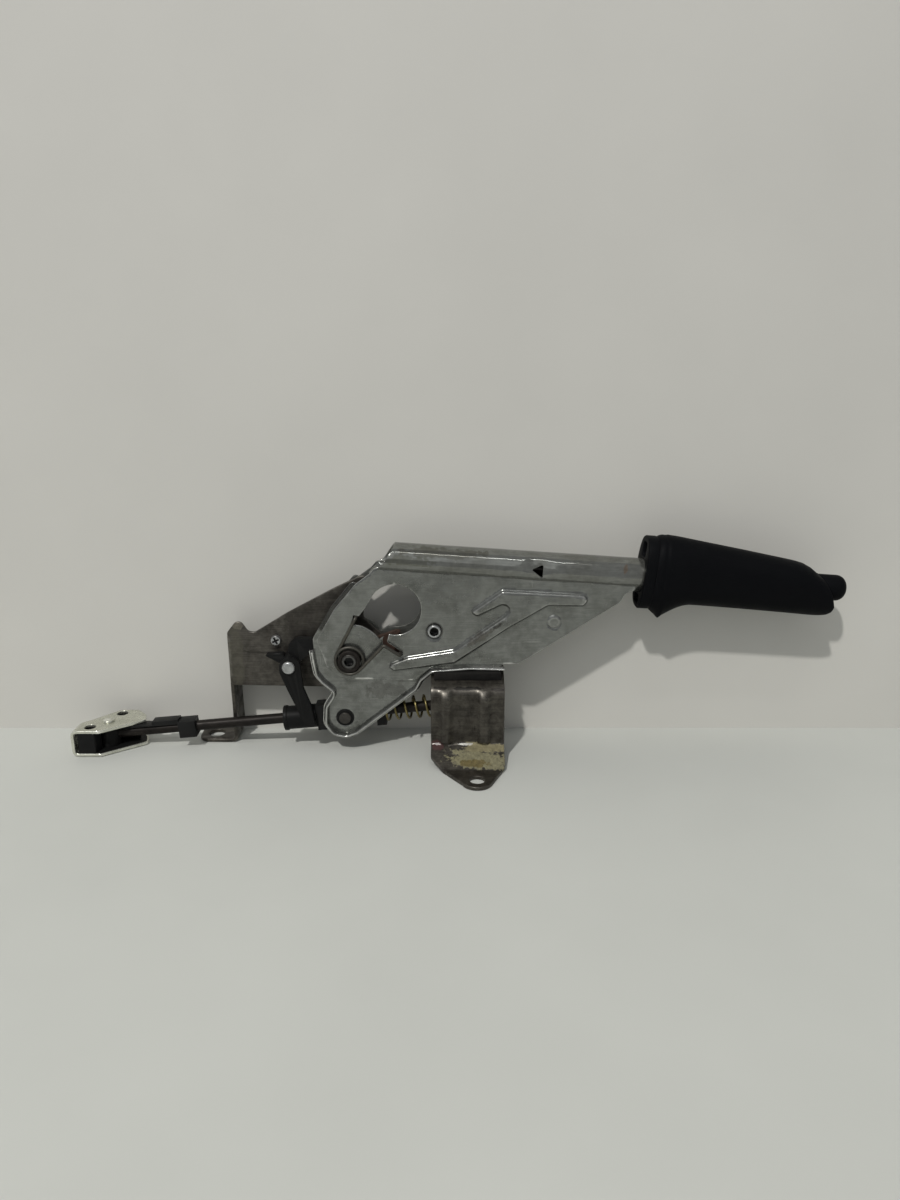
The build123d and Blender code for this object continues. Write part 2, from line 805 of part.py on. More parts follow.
FOOT_PROFILE = [
    (PLATE_BACK, PLATE_BELOW_LEVER),
    (PLATE_BACK, PLATE_BELOW_LEVER - 2.6),
    (WEB_FRONT + BRACKET_SHEET, WEB_TOP),
    (WEB_FRONT + BRACKET_SHEET, WEB_BOTTOM),
    (TAB_FLAT, -PIVOT_Z),
    (-LEVER_Y - TAB_END_R - 1, -PIVOT_Z),
]
FOOT_PLAN = [
    (FOOT_LEFT, 40),
    (FOOT_LEFT, WEB_FRONT - 8),
    (FOOT_LEFT + FOOT_HOLE_ALONG - TAB_END_R * 0.78, -LEVER_Y - TAB_END_R * 0.62),
    (FOOT_LEFT + FOOT_HOLE_ALONG + TAB_END_R * 0.86, -LEVER_Y - TAB_END_R * 0.52),
    (FOOT_LEFT + FOOT_WIDTH, WEB_FRONT - 14),
    (FOOT_LEFT + FOOT_WIDTH, 40),
]
with BuildPart() as rear_foot:
    foot_side = Plane(
        origin=(PIVOT_X + FOOT_LEFT, LEVER_Y, PIVOT_Z),
        x_dir=(0, 1, 0),
        z_dir=(1, 0, 0),
    )
    with BuildSketch(foot_side):
        with BuildLine():
            FilletPolyline(*FOOT_PROFILE, radius=REAR_BEND_R)
            offset(amount=BRACKET_SHEET, side=Side.RIGHT)
        make_face()
    extrude(amount=FOOT_WIDTH)
    # Pressed beads up the web, hollow behind
    for bead_x in BEADS:
        bead_at = (bead_x, WEB_FRONT + BEAD_R - BEAD_RISE)
        with BuildSketch(plan(WEB_BOTTOM - 2)):
            with Locations(bead_at):
                Circle(BEAD_R)
        extrude(amount=WEB_TOP - WEB_BOTTOM + 1)
        with BuildSketch(plan(WEB_BOTTOM - 8)):
            with Locations(bead_at):
                Circle(BEAD_R - BRACKET_SHEET + 0.2)
            with Locations((bead_x, bead_at[1] + BEAD_R)):
                Rectangle(2 * (BEAD_R - BRACKET_SHEET + 0.2), 2 * BEAD_R)
        extrude(amount=WEB_TOP - WEB_BOTTOM + 8, mode=Mode.SUBTRACT)
    # Plan shape of the foot, with the bolt hole
    with BuildSketch(plan(-PIVOT_Z - 5)):
        with BuildLine():
            soft_loop(FOOT_PLAN, FOOT_CORNER)
        make_face()
        with Locations((FOOT_LEFT + FOOT_HOLE_ALONG, -LEVER_Y)):
            Circle(TAB_END_R)
            Circle(REAR_HOLE_R, mode=Mode.SUBTRACT)
    extrude(amount=PIVOT_Z + 20, mode=Mode.INTERSECT)
finish(rear_foot.part, "rear_foot")


# Ratchet sector, riveted to the bracket plate

with BuildPart() as ratchet_sector:
    teeth = [polar(SECTOR_R - TOOTH_DEPTH, SECTOR_FROM)]
    for count in range(TOOTH_COUNT):
        tooth = SECTOR_FROM + count * TOOTH_PITCH
        teeth.append(polar(SECTOR_R - TOOTH_DEPTH, tooth + TOOTH_PITCH * 0.15))
        teeth.append(polar(SECTOR_R, tooth + TOOTH_PITCH * 0.3))
        teeth.append(polar(SECTOR_R, tooth + TOOTH_PITCH * 0.45))
        teeth.append(polar(SECTOR_R - TOOTH_DEPTH, tooth + TOOTH_PITCH))
    with BuildSketch(side(PLATE_FRONT)):
        outline(teeth + [polar(14, 40), (-7, 11), (-13, 0), (-7, -11), polar(14, -50)])
        Circle(PIN_R + FIXED, mode=Mode.SUBTRACT)
        with Locations(*SECTOR_RIVETS):
            Circle(SECTOR_RIVET_R + FIXED, mode=Mode.SUBTRACT)
    extrude(amount=SECTOR_SHEET)
finish(ratchet_sector.part, "ratchet_sector")

with BuildPart() as sector_rivets:
    with BuildSketch(side(PLATE_BACK)):
        with Locations(*SECTOR_RIVETS):
            Circle(SECTOR_RIVET_R)
    extrude(amount=BRACKET_SHEET + SECTOR_SHEET)
    with BuildSketch(side(PLATE_FRONT - SECTOR_SHEET)):
        with Locations(*SECTOR_RIVETS):
            Circle(SECTOR_RIVET_R + 1.2)
    extrude(amount=1.2, taper=20)
finish(sector_rivets.part, "sector_rivets")


# Main pivot pin with its socket, the spring guide, the rear clip

with BuildPart() as pivot_pin:
    with BuildSketch(side(PIN_BACK)):
        Circle(PIN_R)
    extrude(amount=PIN_BACK - PIN_FRONT)
    chamfer(pivot_pin.faces().sort_by(Axis.Y)[0].edges(), length=0.5)
    with BuildSketch(side(PIN_FRONT + SOCKET_DEPTH)):
        RegularPolygon(SOCKET_FLATS / 2, 6, major_radius=False)
    extrude(amount=SOCKET_DEPTH + 1, mode=Mode.SUBTRACT)
finish(pivot_pin.part, "pivot_pin")

with BuildPart() as spring_guide:
    with BuildSketch(side(COIL_BACK + 0.4)):
        Circle(GUIDE_R)
        Circle(PIN_R + FIXED, mode=Mode.SUBTRACT)
    extrude(amount=5.0)
finish(spring_guide.part, "spring_guide")

with BuildPart() as pivot_clip:
    with BuildSketch(side(PIN_BACK - 0.6)):
        Circle(PIN_R + 3.4)
        Circle(PIN_R + FIXED, mode=Mode.SUBTRACT)
        with Locations((0, PIN_R + 2)):
            Rectangle(2.0, 5.0, mode=Mode.SUBTRACT)
    extrude(amount=1.2)
finish(pivot_clip.part, "pivot_clip")

# Spacer between the bracket plate and the front bush, over the pin
with BuildPart() as pivot_spacer:
    with BuildSketch(side(PLATE_FRONT - SECTOR_SHEET)):
        Circle(BUSH_R + 2)
        Circle(PIN_R + FIXED, mode=Mode.SUBTRACT)
    extrude(amount=PLATE_FRONT - SECTOR_SHEET - (-LEG_IN + EAR_SHEET + 0.5))
finish(pivot_spacer.part, "pivot_spacer")


# Return spring: coil on the guide, one arm back to the plate, one arm hooked on the lever

def tangent_angle(point, turn):
    """Angle on the coil at which a straight arm to a point leaves it."""
    distance = math.hypot(*point)
    return math.degrees(math.atan2(point[1], point[0])) + turn * math.degrees(math.acos(COIL_R / distance))


COIL_FROM = tangent_angle(FIXED_ARM, 1)
COIL_TO = tangent_angle(LEVER_ARM, -1) + 360 * (COIL_TURNS + 1)
COIL_LENGTH = 2.08 * COIL_WIRE * (COIL_TO - COIL_FROM) / 360
COIL_FRONT = COIL_BACK - COIL_LENGTH


def depth_point(point, y):
    """Point in space from its place in the outline and its depth."""
    return (PIVOT_X + point[0], LEVER_Y + y, PIVOT_Z + point[1])


with BuildPart() as return_spring:
    coil_base = Plane(
        origin=depth_point((0, 0), COIL_BACK),
        x_dir=(math.cos(math.radians(COIL_FROM)), 0, math.sin(math.radians(COIL_FROM))),
        z_dir=(0, -1, 0),
    )
    with BuildLine() as coil:
        add(coil_base.from_local_coords(Helix(
            pitch=COIL_LENGTH * 360 / (COIL_TO - COIL_FROM),
            height=COIL_LENGTH,
            radius=COIL_R,
            mode=Mode.PRIVATE,
        )))
    with BuildSketch(Plane(origin=coil.line @ 0, z_dir=coil.line % 0)):
        RegularPolygon(COIL_WIRE, 8)
    sweep(path=coil.line, is_frenet=True)
    arms = (
        [
            depth_point(polar(COIL_R, COIL_FROM), COIL_BACK),
            depth_point(FIXED_ARM, COIL_BACK),
            depth_point(FIXED_ARM, PLATE_BACK),
        ],
        [
            depth_point(polar(COIL_R, COIL_TO), COIL_FRONT),
            depth_point(LEVER_ARM, COIL_FRONT),
            depth_point(LEVER_HOOK, COIL_FRONT),
            depth_point(LEVER_HOOK, -LEG_IN),
        ],
    )
    for start, bend, *rest in arms:
        back = (Vector(*start) - Vector(*bend)).normalized() * ARM_OVERLAP
        with BuildLine() as arm:
            FilletPolyline(Vector(*start) + back, bend, *rest, radius=2 * COIL_WIRE)
        with BuildSketch(Plane(origin=arm.line @ 0, z_dir=arm.line % 0)):
            RegularPolygon(COIL_WIRE, 8)
        sweep(path=arm.line)
finish(return_spring.part, "return_spring")


# Hook pin, stop screw and rubber stop

with BuildPart() as hook_pin:
    with BuildSketch(side(PLATE_BACK + 1)):
        with Locations(HOOK_PIN):
            Circle(HOOK_PIN_R)
    extrude(amount=PLATE_BACK + 1 - HOOK_FRONT)
    with BuildSketch(side(HOOK_FRONT)):
        with Locations(HOOK_PIN):
            Circle(HOOK_HEAD_R)
    extrude(amount=1.6, taper=25)
finish(hook_pin.part, "hook_pin")

with BuildPart() as stop_screw:
    with BuildSketch(side(PLATE_BACK + 3)):
        with Locations(SCREW_AT):
            Circle(SCREW_R)
    extrude(amount=BRACKET_SHEET + 3)
    with BuildSketch(side(PLATE_FRONT)):
        with Locations(SCREW_AT):
            Circle(SCREW_HEAD_R)
    extrude(amount=2.4, taper=12)
    with BuildSketch(side(PLATE_FRONT - 1.2)):
        with Locations(SCREW_AT):
            Rectangle(4.4, 1.0, rotation=25)
            Rectangle(1.0, 4.4, rotation=25)
    extrude(amount=3, mode=Mode.SUBTRACT)
finish(stop_screw.part, "stop_screw")


# Rubber stop on the shelf, under the rim of the ear plate

def shelf_top(y):
    """Height of the shelf's upper face at a depth."""
    rise = (WEB_TOP - (PLATE_BELOW_LEVER - 2.6)) / (WEB_FRONT + BRACKET_SHEET - PLATE_BACK)
    lower = PLATE_BELOW_LEVER - 2.6 + (y - PLATE_BACK) * rise
    return lower + BRACKET_SHEET * math.hypot(1, rise) + FIXED


with BuildPart() as stop_buffer:
    with BuildSketch(foot_side.offset(2.0)):
        outline([
            (-14.0, shelf_top(-14.0)),
            (-6.5, shelf_top(-6.5)),
            (-6.5, STOP_TOP),
            (-14.0, STOP_TOP),
        ])
    extrude(amount=FOOT_WIDTH - 4.0)
finish(stop_buffer.part, "stop_buffer")


# Hook lever: moulded plastic, with a hub, a nose, a wing and a long arm in front of the housing

with BuildPart() as hook_lever:
    with BuildSketch(side(PLATE_FRONT - GAP)):
        with Locations(HOOK_PIN):
            Circle(HOOK_HUB_R)
    extrude(amount=PLATE_FRONT - GAP - HOOK_FRONT - GAP)
    for shape in (HOOK_NOSE, HOOK_WING):
        with BuildSketch(side(0.5)):
            with BuildLine():
                soft_loop(shape, HOOK_CORNER)
            make_face()
        extrude(amount=HOOK_PLATE)
    with BuildSketch(side(HOOK_FRONT + 0.5 + HOOK_ARM)):
        with BuildLine():
            soft_loop(HOOK_LONG_ARM, HOOK_CORNER)
        make_face()
    extrude(amount=HOOK_ARM)
    with BuildSketch(side(PLATE_FRONT - GAP)):
        with Locations(HOOK_PIN):
            Circle(HOOK_PIN_R + RUNNING)
    extrude(amount=30, mode=Mode.SUBTRACT)
finish(hook_lever.part, "hook_lever")


# Trunnion: cross pin and block that the pull rod slides through

with BuildPart() as trunnion:
    with BuildSketch(side(LEG_OUT + EAR_SHEET + 0.4)):
        with Locations(EAR_PIN):
            Circle(TRUNNION_R)
    extrude(amount=2 * LEG_OUT + EAR_SHEET + 0.4)
    with BuildSketch(across_rod(-TRUNNION_HALF)):
        Rectangle(2 * TRUNNION_WIDE, 2 * TRUNNION_HALF)
    extrude(amount=2 * TRUNNION_HALF)
    with BuildSketch(across_rod(-TRUNNION_HALF - 5)):
        Circle(ROD_R + RUNNING)
    extrude(amount=2 * TRUNNION_HALF + 10, mode=Mode.SUBTRACT)
finish(trunnion.part, "trunnion")

with BuildPart() as trunnion_bushes:
    for back, front in ((LEG_OUT + EAR_SHEET, LEG_OUT), (-LEG_IN + EAR_SHEET, -LEG_IN - 0.6)):
        with BuildSketch(side(back)):
            with Locations(EAR_PIN):
                Circle(EAR_HOLE_R - FIXED)
                Circle(TRUNNION_R + RUNNING, mode=Mode.SUBTRACT)
        extrude(amount=back - front)
finish(trunnion_bushes.part, "trunnion_bushes")


# Adjuster: housing, its square flange, spring seat, spring, washer and nut on the pull rod

with BuildPart() as adjuster_housing:
    with BuildSketch(across_rod(HOUSING_FROM)):
        Circle(HOUSING_R)
    extrude(amount=HOUSING_TO - HOUSING_FROM)
    with BuildSketch(across_rod(HOUSING_FROM - 0.4)):
        Circle(HOUSING_R + 0.6)
    extrude(amount=2.4)
    with BuildSketch(across_rod(HOUSING_FROM - 1)):
        Circle(ROD_R + GAP)
    extrude(amount=HOUSING_TO - HOUSING_FROM + 2, mode=Mode.SUBTRACT)
finish(adjuster_housing.part, "adjuster_housing")

with BuildPart() as housing_flange:
    with BuildSketch(across_rod(HOUSING_TO)):
        Rectangle(2 * TRUNNION_WIDE, FLANGE_SIZE)
    extrude(amount=FLANGE_TO - HOUSING_TO)
    with BuildSketch(across_rod(FLANGE_TO)):
        Circle(TRUNNION_WIDE)
    extrude(amount=-TRUNNION_HALF - FLANGE_TO)
    with BuildSketch(across_rod(HOUSING_TO - 1)):
        Circle(ROD_R + GAP)
    extrude(amount=HOUSING_TO * -1, mode=Mode.SUBTRACT)
finish(housing_flange.part, "housing_flange")

with BuildPart() as adjuster_seat:
    with BuildSketch(across_rod(TRUNNION_HALF)):
        Circle(TRUNNION_WIDE)
    extrude(amount=SEAT_FROM - TRUNNION_HALF)
    with BuildSketch(across_rod(SEAT_FROM)):
        Rectangle(2 * TRUNNION_WIDE, SEAT_SIZE)
    extrude(amount=SEAT_TO - SEAT_FROM)
    with BuildSketch(across_rod(TRUNNION_HALF - 1)):
        Circle(ROD_R + GAP)
    extrude(amount=SEAT_TO, mode=Mode.SUBTRACT)
finish(adjuster_seat.part, "adjuster_seat")

with BuildPart() as adjuster_spring:
    with BuildLine() as coil:
        coil_path(
            across_rod(SEAT_TO + SPRING_WIRE + FIXED),
            SPRING_TO - SEAT_TO - 2 * (SPRING_WIRE + FIXED),
            SPRING_TURNS,
            SPRING_R,
        )
    with BuildSketch(Plane(origin=coil.line @ 0, z_dir=coil.line % 0)):
        RegularPolygon(SPRING_WIRE, 6)
    sweep(path=coil.line, is_frenet=True)
finish(adjuster_spring.part, "adjuster_spring")

with BuildPart() as end_washer:
    with BuildSketch(across_rod(SPRING_TO)):
        Circle(WASHER_R)
        Circle(ROD_R + FIXED, mode=Mode.SUBTRACT)
    extrude(amount=1.6)
finish(end_washer.part, "end_washer")

with BuildPart() as end_nut:
    with BuildSketch(across_rod(SPRING_TO + 1.6)):
        RegularPolygon(NUT_FLATS / 2, 6, major_radius=False)
        Circle(ROD_R + FIXED, mode=Mode.SUBTRACT)
    extrude(amount=6.0)
finish(end_nut.part, "end_nut")


# Pull rod with an eye round the equaliser's pin

ROD_LEFT = -math.hypot(EQ_X - EAR_PIN[0], rod_height(EQ_X) - EAR_PIN[1])
EQ_MIDDLE = rod_height(EQ_X)
EQ_TOP = EQ_MIDDLE + EQ_HEIGHT / 2
EQ_BOTTOM = EQ_MIDDLE - EQ_HEIGHT / 2

with BuildPart() as pull_rod:
    with BuildSketch(across_rod(ROD_LEFT)):
        Circle(ROD_R)
    extrude(amount=ROD_RIGHT - ROD_LEFT)
    with BuildSketch(plan(EQ_MIDDLE - EQ_EYE_HEIGHT / 2)):
        with Locations((EQ_X, EQ_Y)):
            Circle(EQ_EYE_R)
    extrude(amount=EQ_EYE_HEIGHT)
    with BuildSketch(plan(EQ_MIDDLE - 5)):
        with Locations((EQ_X, EQ_Y)):
            Circle(EQ_PIN_R + RUNNING)
    extrude(amount=10, mode=Mode.SUBTRACT)
finish(pull_rod.part, "pull_rod")


# Retainer: plastic arm above the rod, clipped to it, moulded round the eye at its end

with BuildPart() as rod_retainer:
    with BuildSketch(across_rod(CLIP_FROM)):
        with Locations((-0.9, 0.0)):
            Rectangle(10.4, 11.4)
    extrude(amount=CLIP_TO - CLIP_FROM)
    with BuildSketch(across_rod(ROD_LEFT + EQ_EYE_R + 0.1)):
        with Locations((0, ROD_R + 1.7)):
            Rectangle(8.0, 3.2)
    extrude(amount=CLIP_FROM - ROD_LEFT - EQ_EYE_R - 0.1)
    with BuildSketch(plan(EQ_BOTTOM + EQ_SHEET + GAP)):
        with Locations((EQ_X, EQ_Y)):
            Circle(EQ_EYE_R + RETAINER_WALL)
    extrude(amount=EQ_HEIGHT - 2 * (EQ_SHEET + GAP))
    with BuildSketch(plan(EQ_TOP - EQ_SHEET - GAP)):
        with Locations((EQ_X, EQ_Y)):
            Rectangle(60, 60)
    extrude(amount=30, mode=Mode.SUBTRACT)
    with BuildSketch(across_rod(ROD_LEFT)):
        Circle(ROD_R + FIXED)
    extrude(amount=CLIP_TO - ROD_LEFT + 2, mode=Mode.SUBTRACT)
    with BuildSketch(plan(EQ_MIDDLE - EQ_EYE_HEIGHT / 2 - FIXED)):
        with Locations((EQ_X, EQ_Y)):
            Circle(EQ_EYE_R + FIXED)
    extrude(amount=EQ_EYE_HEIGHT + 2 * FIXED, mode=Mode.SUBTRACT)
    with BuildSketch(plan(EQ_MIDDLE - 20)):
        with Locations((EQ_X, EQ_Y)):
            Circle(EQ_PIN_R + GAP)
    extrude(amount=40, mode=Mode.SUBTRACT)
finish(rod_retainer.part, "rod_retainer")


# Equaliser: folded strap, its pin and the two plastic cable inserts

with BuildPart() as equaliser_strap:
    with BuildSketch(side(30)):
        with BuildLine():
            FilletPolyline(
                (EQ_X + 30, EQ_TOP),
                (EQ_X - 20, EQ_TOP),
                (EQ_X - 20, EQ_BOTTOM),
                (EQ_X + 30, EQ_BOTTOM),
                radius=4.0,
            )
            offset(amount=EQ_SHEET, side=Side.LEFT)
        make_face()
    extrude(amount=60)
    with BuildSketch(plan(EQ_BOTTOM - 2)) as eq_plan:
        outline(EQ_OUTLINE)
        fillet(eq_plan.vertices(), radius=3.0)
        with Locations((EQ_X, EQ_Y)):
            Circle(EQ_PIN_R + FIXED, mode=Mode.SUBTRACT)
        with Locations(CABLE_NEAR, CABLE_FAR):
            Circle(CABLE_HOLE_R, mode=Mode.SUBTRACT)
    extrude(amount=EQ_HEIGHT + 4, mode=Mode.INTERSECT)
finish(equaliser_strap.part, "equaliser_strap")

with BuildPart() as equaliser_pin:
    with BuildSketch(plan(EQ_BOTTOM - 0.4)):
        with Locations((EQ_X, EQ_Y)):
            Circle(EQ_PIN_R)
    extrude(amount=EQ_HEIGHT + 0.4)
    with BuildSketch(plan(EQ_TOP)):
        with Locations((EQ_X, EQ_Y)):
            Circle(EQ_PIN_R + 1.2)
    extrude(amount=1.2, taper=25)
finish(equaliser_pin.part, "equaliser_pin")

with BuildPart() as cable_inserts:
    with BuildSketch(plan(EQ_BOTTOM + EQ_SHEET)):
        for shape in (INSERT_NEAR, INSERT_FAR):
            with BuildLine():
                soft_loop(shape, INSERT_CORNER)
            make_face()
        with Locations(CABLE_NEAR, CABLE_FAR):
            Circle(CABLE_HOLE_R, mode=Mode.SUBTRACT)
    extrude(amount=EQ_HEIGHT - 2 * EQ_SHEET)
finish(cable_inserts.part, "cable_inserts")
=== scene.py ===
"""Surfaces, pressed sheets, springs, grip and stage for the packed parking brake lever."""

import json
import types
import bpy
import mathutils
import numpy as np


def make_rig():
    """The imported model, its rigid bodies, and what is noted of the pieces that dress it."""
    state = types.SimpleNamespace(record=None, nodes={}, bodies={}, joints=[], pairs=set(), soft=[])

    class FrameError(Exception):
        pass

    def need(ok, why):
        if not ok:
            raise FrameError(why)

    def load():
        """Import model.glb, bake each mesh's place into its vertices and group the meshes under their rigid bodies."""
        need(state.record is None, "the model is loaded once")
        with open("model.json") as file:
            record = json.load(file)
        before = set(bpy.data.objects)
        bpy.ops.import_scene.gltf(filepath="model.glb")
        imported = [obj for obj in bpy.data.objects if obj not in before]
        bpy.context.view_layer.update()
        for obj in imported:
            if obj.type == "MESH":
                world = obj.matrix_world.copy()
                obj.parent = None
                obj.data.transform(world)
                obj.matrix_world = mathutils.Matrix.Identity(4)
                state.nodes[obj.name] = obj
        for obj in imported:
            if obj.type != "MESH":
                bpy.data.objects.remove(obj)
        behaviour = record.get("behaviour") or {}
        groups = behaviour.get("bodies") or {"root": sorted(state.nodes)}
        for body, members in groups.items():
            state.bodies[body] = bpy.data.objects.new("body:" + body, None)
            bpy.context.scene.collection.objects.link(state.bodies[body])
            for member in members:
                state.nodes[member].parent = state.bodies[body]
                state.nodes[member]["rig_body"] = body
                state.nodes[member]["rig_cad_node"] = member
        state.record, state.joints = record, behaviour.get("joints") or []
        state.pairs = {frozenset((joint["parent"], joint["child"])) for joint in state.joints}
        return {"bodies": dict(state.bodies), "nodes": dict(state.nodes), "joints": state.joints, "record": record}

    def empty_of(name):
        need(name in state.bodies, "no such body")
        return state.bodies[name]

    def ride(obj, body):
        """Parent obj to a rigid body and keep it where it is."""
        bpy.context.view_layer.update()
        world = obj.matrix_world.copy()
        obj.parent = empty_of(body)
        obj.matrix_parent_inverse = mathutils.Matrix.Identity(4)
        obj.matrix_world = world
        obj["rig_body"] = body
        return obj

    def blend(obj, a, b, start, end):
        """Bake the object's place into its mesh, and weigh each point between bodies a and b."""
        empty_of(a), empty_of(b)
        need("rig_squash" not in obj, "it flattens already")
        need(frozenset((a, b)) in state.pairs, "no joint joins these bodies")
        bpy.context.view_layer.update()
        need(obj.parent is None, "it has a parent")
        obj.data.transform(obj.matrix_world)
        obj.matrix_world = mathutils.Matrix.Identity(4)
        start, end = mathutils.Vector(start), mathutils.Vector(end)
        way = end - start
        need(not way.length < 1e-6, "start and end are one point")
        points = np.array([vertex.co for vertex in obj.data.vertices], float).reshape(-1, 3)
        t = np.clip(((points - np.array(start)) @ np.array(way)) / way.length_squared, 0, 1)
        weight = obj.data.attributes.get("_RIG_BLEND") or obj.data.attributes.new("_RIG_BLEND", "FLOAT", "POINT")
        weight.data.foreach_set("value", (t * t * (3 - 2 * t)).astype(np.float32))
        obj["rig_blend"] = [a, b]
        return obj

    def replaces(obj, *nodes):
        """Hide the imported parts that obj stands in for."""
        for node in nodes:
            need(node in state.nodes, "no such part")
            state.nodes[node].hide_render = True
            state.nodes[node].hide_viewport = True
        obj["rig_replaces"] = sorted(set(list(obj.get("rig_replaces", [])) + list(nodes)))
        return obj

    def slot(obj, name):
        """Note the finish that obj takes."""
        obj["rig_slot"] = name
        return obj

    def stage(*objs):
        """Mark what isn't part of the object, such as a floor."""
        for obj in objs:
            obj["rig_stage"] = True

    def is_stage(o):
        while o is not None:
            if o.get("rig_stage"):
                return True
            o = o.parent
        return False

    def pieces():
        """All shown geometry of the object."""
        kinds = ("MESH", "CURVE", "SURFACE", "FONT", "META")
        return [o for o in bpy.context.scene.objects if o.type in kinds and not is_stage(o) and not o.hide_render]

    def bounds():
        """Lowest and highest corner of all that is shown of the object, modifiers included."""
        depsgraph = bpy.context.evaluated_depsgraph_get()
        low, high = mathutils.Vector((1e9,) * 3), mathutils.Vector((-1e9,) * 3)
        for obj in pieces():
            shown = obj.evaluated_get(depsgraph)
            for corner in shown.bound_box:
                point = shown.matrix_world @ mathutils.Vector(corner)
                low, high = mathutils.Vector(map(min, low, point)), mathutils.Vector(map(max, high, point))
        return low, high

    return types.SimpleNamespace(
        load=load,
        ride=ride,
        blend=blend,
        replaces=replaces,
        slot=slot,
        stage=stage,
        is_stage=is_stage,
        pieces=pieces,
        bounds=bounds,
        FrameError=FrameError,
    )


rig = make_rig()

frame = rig.load()

import json
import math

import bmesh
import bpy
import numpy as np
from bpy.props import FloatProperty, FloatVectorProperty, IntProperty, PointerProperty
from mathutils import Vector
from mathutils.geometry import delaunay_2d_cdt

bl_info = {
    "name": "Parking brake lever",
    "version": (1, 0, 0),
    "blender": (4, 5, 0),
    "location": "View3D > Sidebar > Brake Lever",
    "description": "Makes the surfaces, springs, grip and stage of a parking brake lever",
    "category": "Object",
}

CAD_BOX = [list(corner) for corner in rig.bounds()]

# All sizes below are in millimetres from the main pivot, in the lever's mid-plane; a name in _R is
# a radius, and FIT is the gap round what is fixed in a hole
MM = 0.001
PIVOT = Vector((-82.5, 53.0, 67.0))
FIT = 0.02

# Lever
TUBE_R = 11.0
SHEET = 1.6
TUBE_SLANT = math.radians(3.85)
TUBE_TAN, TUBE_COS, TUBE_SIN = math.tan(TUBE_SLANT), math.cos(TUBE_SLANT), math.sin(TUBE_SLANT)
TUBE_HEIGHT = 67.0
TUBE_LEFT, TUBE_RIGHT = 14.0, 292.0
LEG_FACE = 9.6
LEG_RIGHT = 184.0
BUSH_R = 6.5
RIVET_AT = (55.3, 19.2)
RIVET_R = 4.0
RIVET_SPOT = (RIVET_AT[0], -10.0, RIVET_AT[1])
WELD_AT = (132.7, 25.7)
EAR_PIN = (-4.6, -42.3)
EAR_HOLE_R = 5.8
EAR_FACE = 8.0
OPENING_AT = (29.9, 33.6)
OPENING_R = 17.0
OPENING_EYE = (13.5, 23.4)
ARC_IN, ARC_OUT = 24.0, 30.0
ARC_FROM, ARC_TO = 35.0, 84.0
LEVER_ARM = (22.8, 11.0)
LEVER_HOOK = (33.2, 3.8)

# Bracket
BRACKET_SHEET = 2.5
PLATE_FACE = 5.0
PLATE_LEFT = -80.5
FOOT_LEFT, FOOT_RIGHT = 53.0, 101.0
FOOT_LEVEL = -67.0
REAR_HOLE_AT = (82.5, -53.0)
REAR_HOLE_R = 4.85
FRONT_HOLE_R = 5.5
PIVOT_PIN_R = 5.0
HOOK_PIN = (-39.8, -4.8)
HOOK_PIN_R = 3.0
SCREW_AT = (-50.4, 8.1)
SCREW_R = 2.0
SCREW_SPOT = (SCREW_AT[0], 1.5, SCREW_AT[1])

# Springs and rod
COIL_R = 9.0
COIL_BACK = -10.8
COIL_PITCH = 2.08
WIRE_R = 1.08
FIXED_ARM = (4.6, 28.3)
ROD_SLANT = math.radians(5.3)
ROD_SIN, ROD_COS = math.sin(ROD_SLANT), math.cos(ROD_SLANT)
BUTTON_START, BUTTON_END = 296.0 / TUBE_COS, 321.4 / TUBE_COS
BUTTON_SEAT = 250.0 / TUBE_COS + 4.0

# Equaliser, with its pin's place
EQ_X, EQ_Y = -166.0, -1.0
EQ_RIGHT = EQ_X + 30
EQ_HEIGHT = 18.5
EQ_SHEET = 2.0
EQ_PIN_R = 3.0

# Outlines of the sheets, as seen from the front; the equaliser's is seen from above
LEG_OUTLINE = [
    (TUBE_LEFT, 57.5), (4.9, 50.7), (-8.9, 34.1), (-21.6, 12.6), (-15.0, -6.2), (-7.4, -12.0),
    (1.5, -14.4), (15.8, -14.4), (42.3, -15.1), (54.0, -5.2), (78.6, -3.0), (99.6, -3.6),
    (109.5, -3.6), (115.3, -0.4), (174.7, 38.7), (177.5, 44.5), (LEG_RIGHT, 46.5),
]
EAR_OUTLINE = [
    (-23.6, 5.4), (-24.0, 13.5), (-11.0, 35.6), (3.0, 52.6), (8.0, 49.0), (-4.0, 30.0),
    (-8.0, 14.0), (12.0, 10.0), (22.0, 4.0), (60.0, 3.0), (101.0, 2.0), (101.0, -6.0),
    (78.6, -5.4), (53.0, -7.6), (45.5, -14.0), (42.4, -20.2), (2.5, -51.6), (-4.0, -54.2),
    (-11.6, -52.5), (-16.3, -45.8), (-15.5, -34.0), (-10.2, -26.0), (-10.5, -21.9),
    (-17.7, -15.4), (-21.3, -10.6), (-22.8, -1.7),
]
RIM_FROM = 11
PLATE_OUTLINE = [
    (PLATE_LEFT - 2.4, 13.2), (-77.2, 20.4), (-73.2, 20.4), (-69.0, 13.9), (-64.6, 13.2),
    (-41.5, 27.4), (-11.4, 43.5), (11.5, 54.5), (8.0, 24.0), (24.0, 9.0), (30.0, 7.0), (87.0, 7.0),
    (FOOT_RIGHT, -3.0), (FOOT_RIGHT, -5.0), (FOOT_LEFT, -5.0), (30.0, -18.0), (-6.0, -20.0),
    (-20.0, -25.5), (PLATE_LEFT - 2.4, -24.3),
]
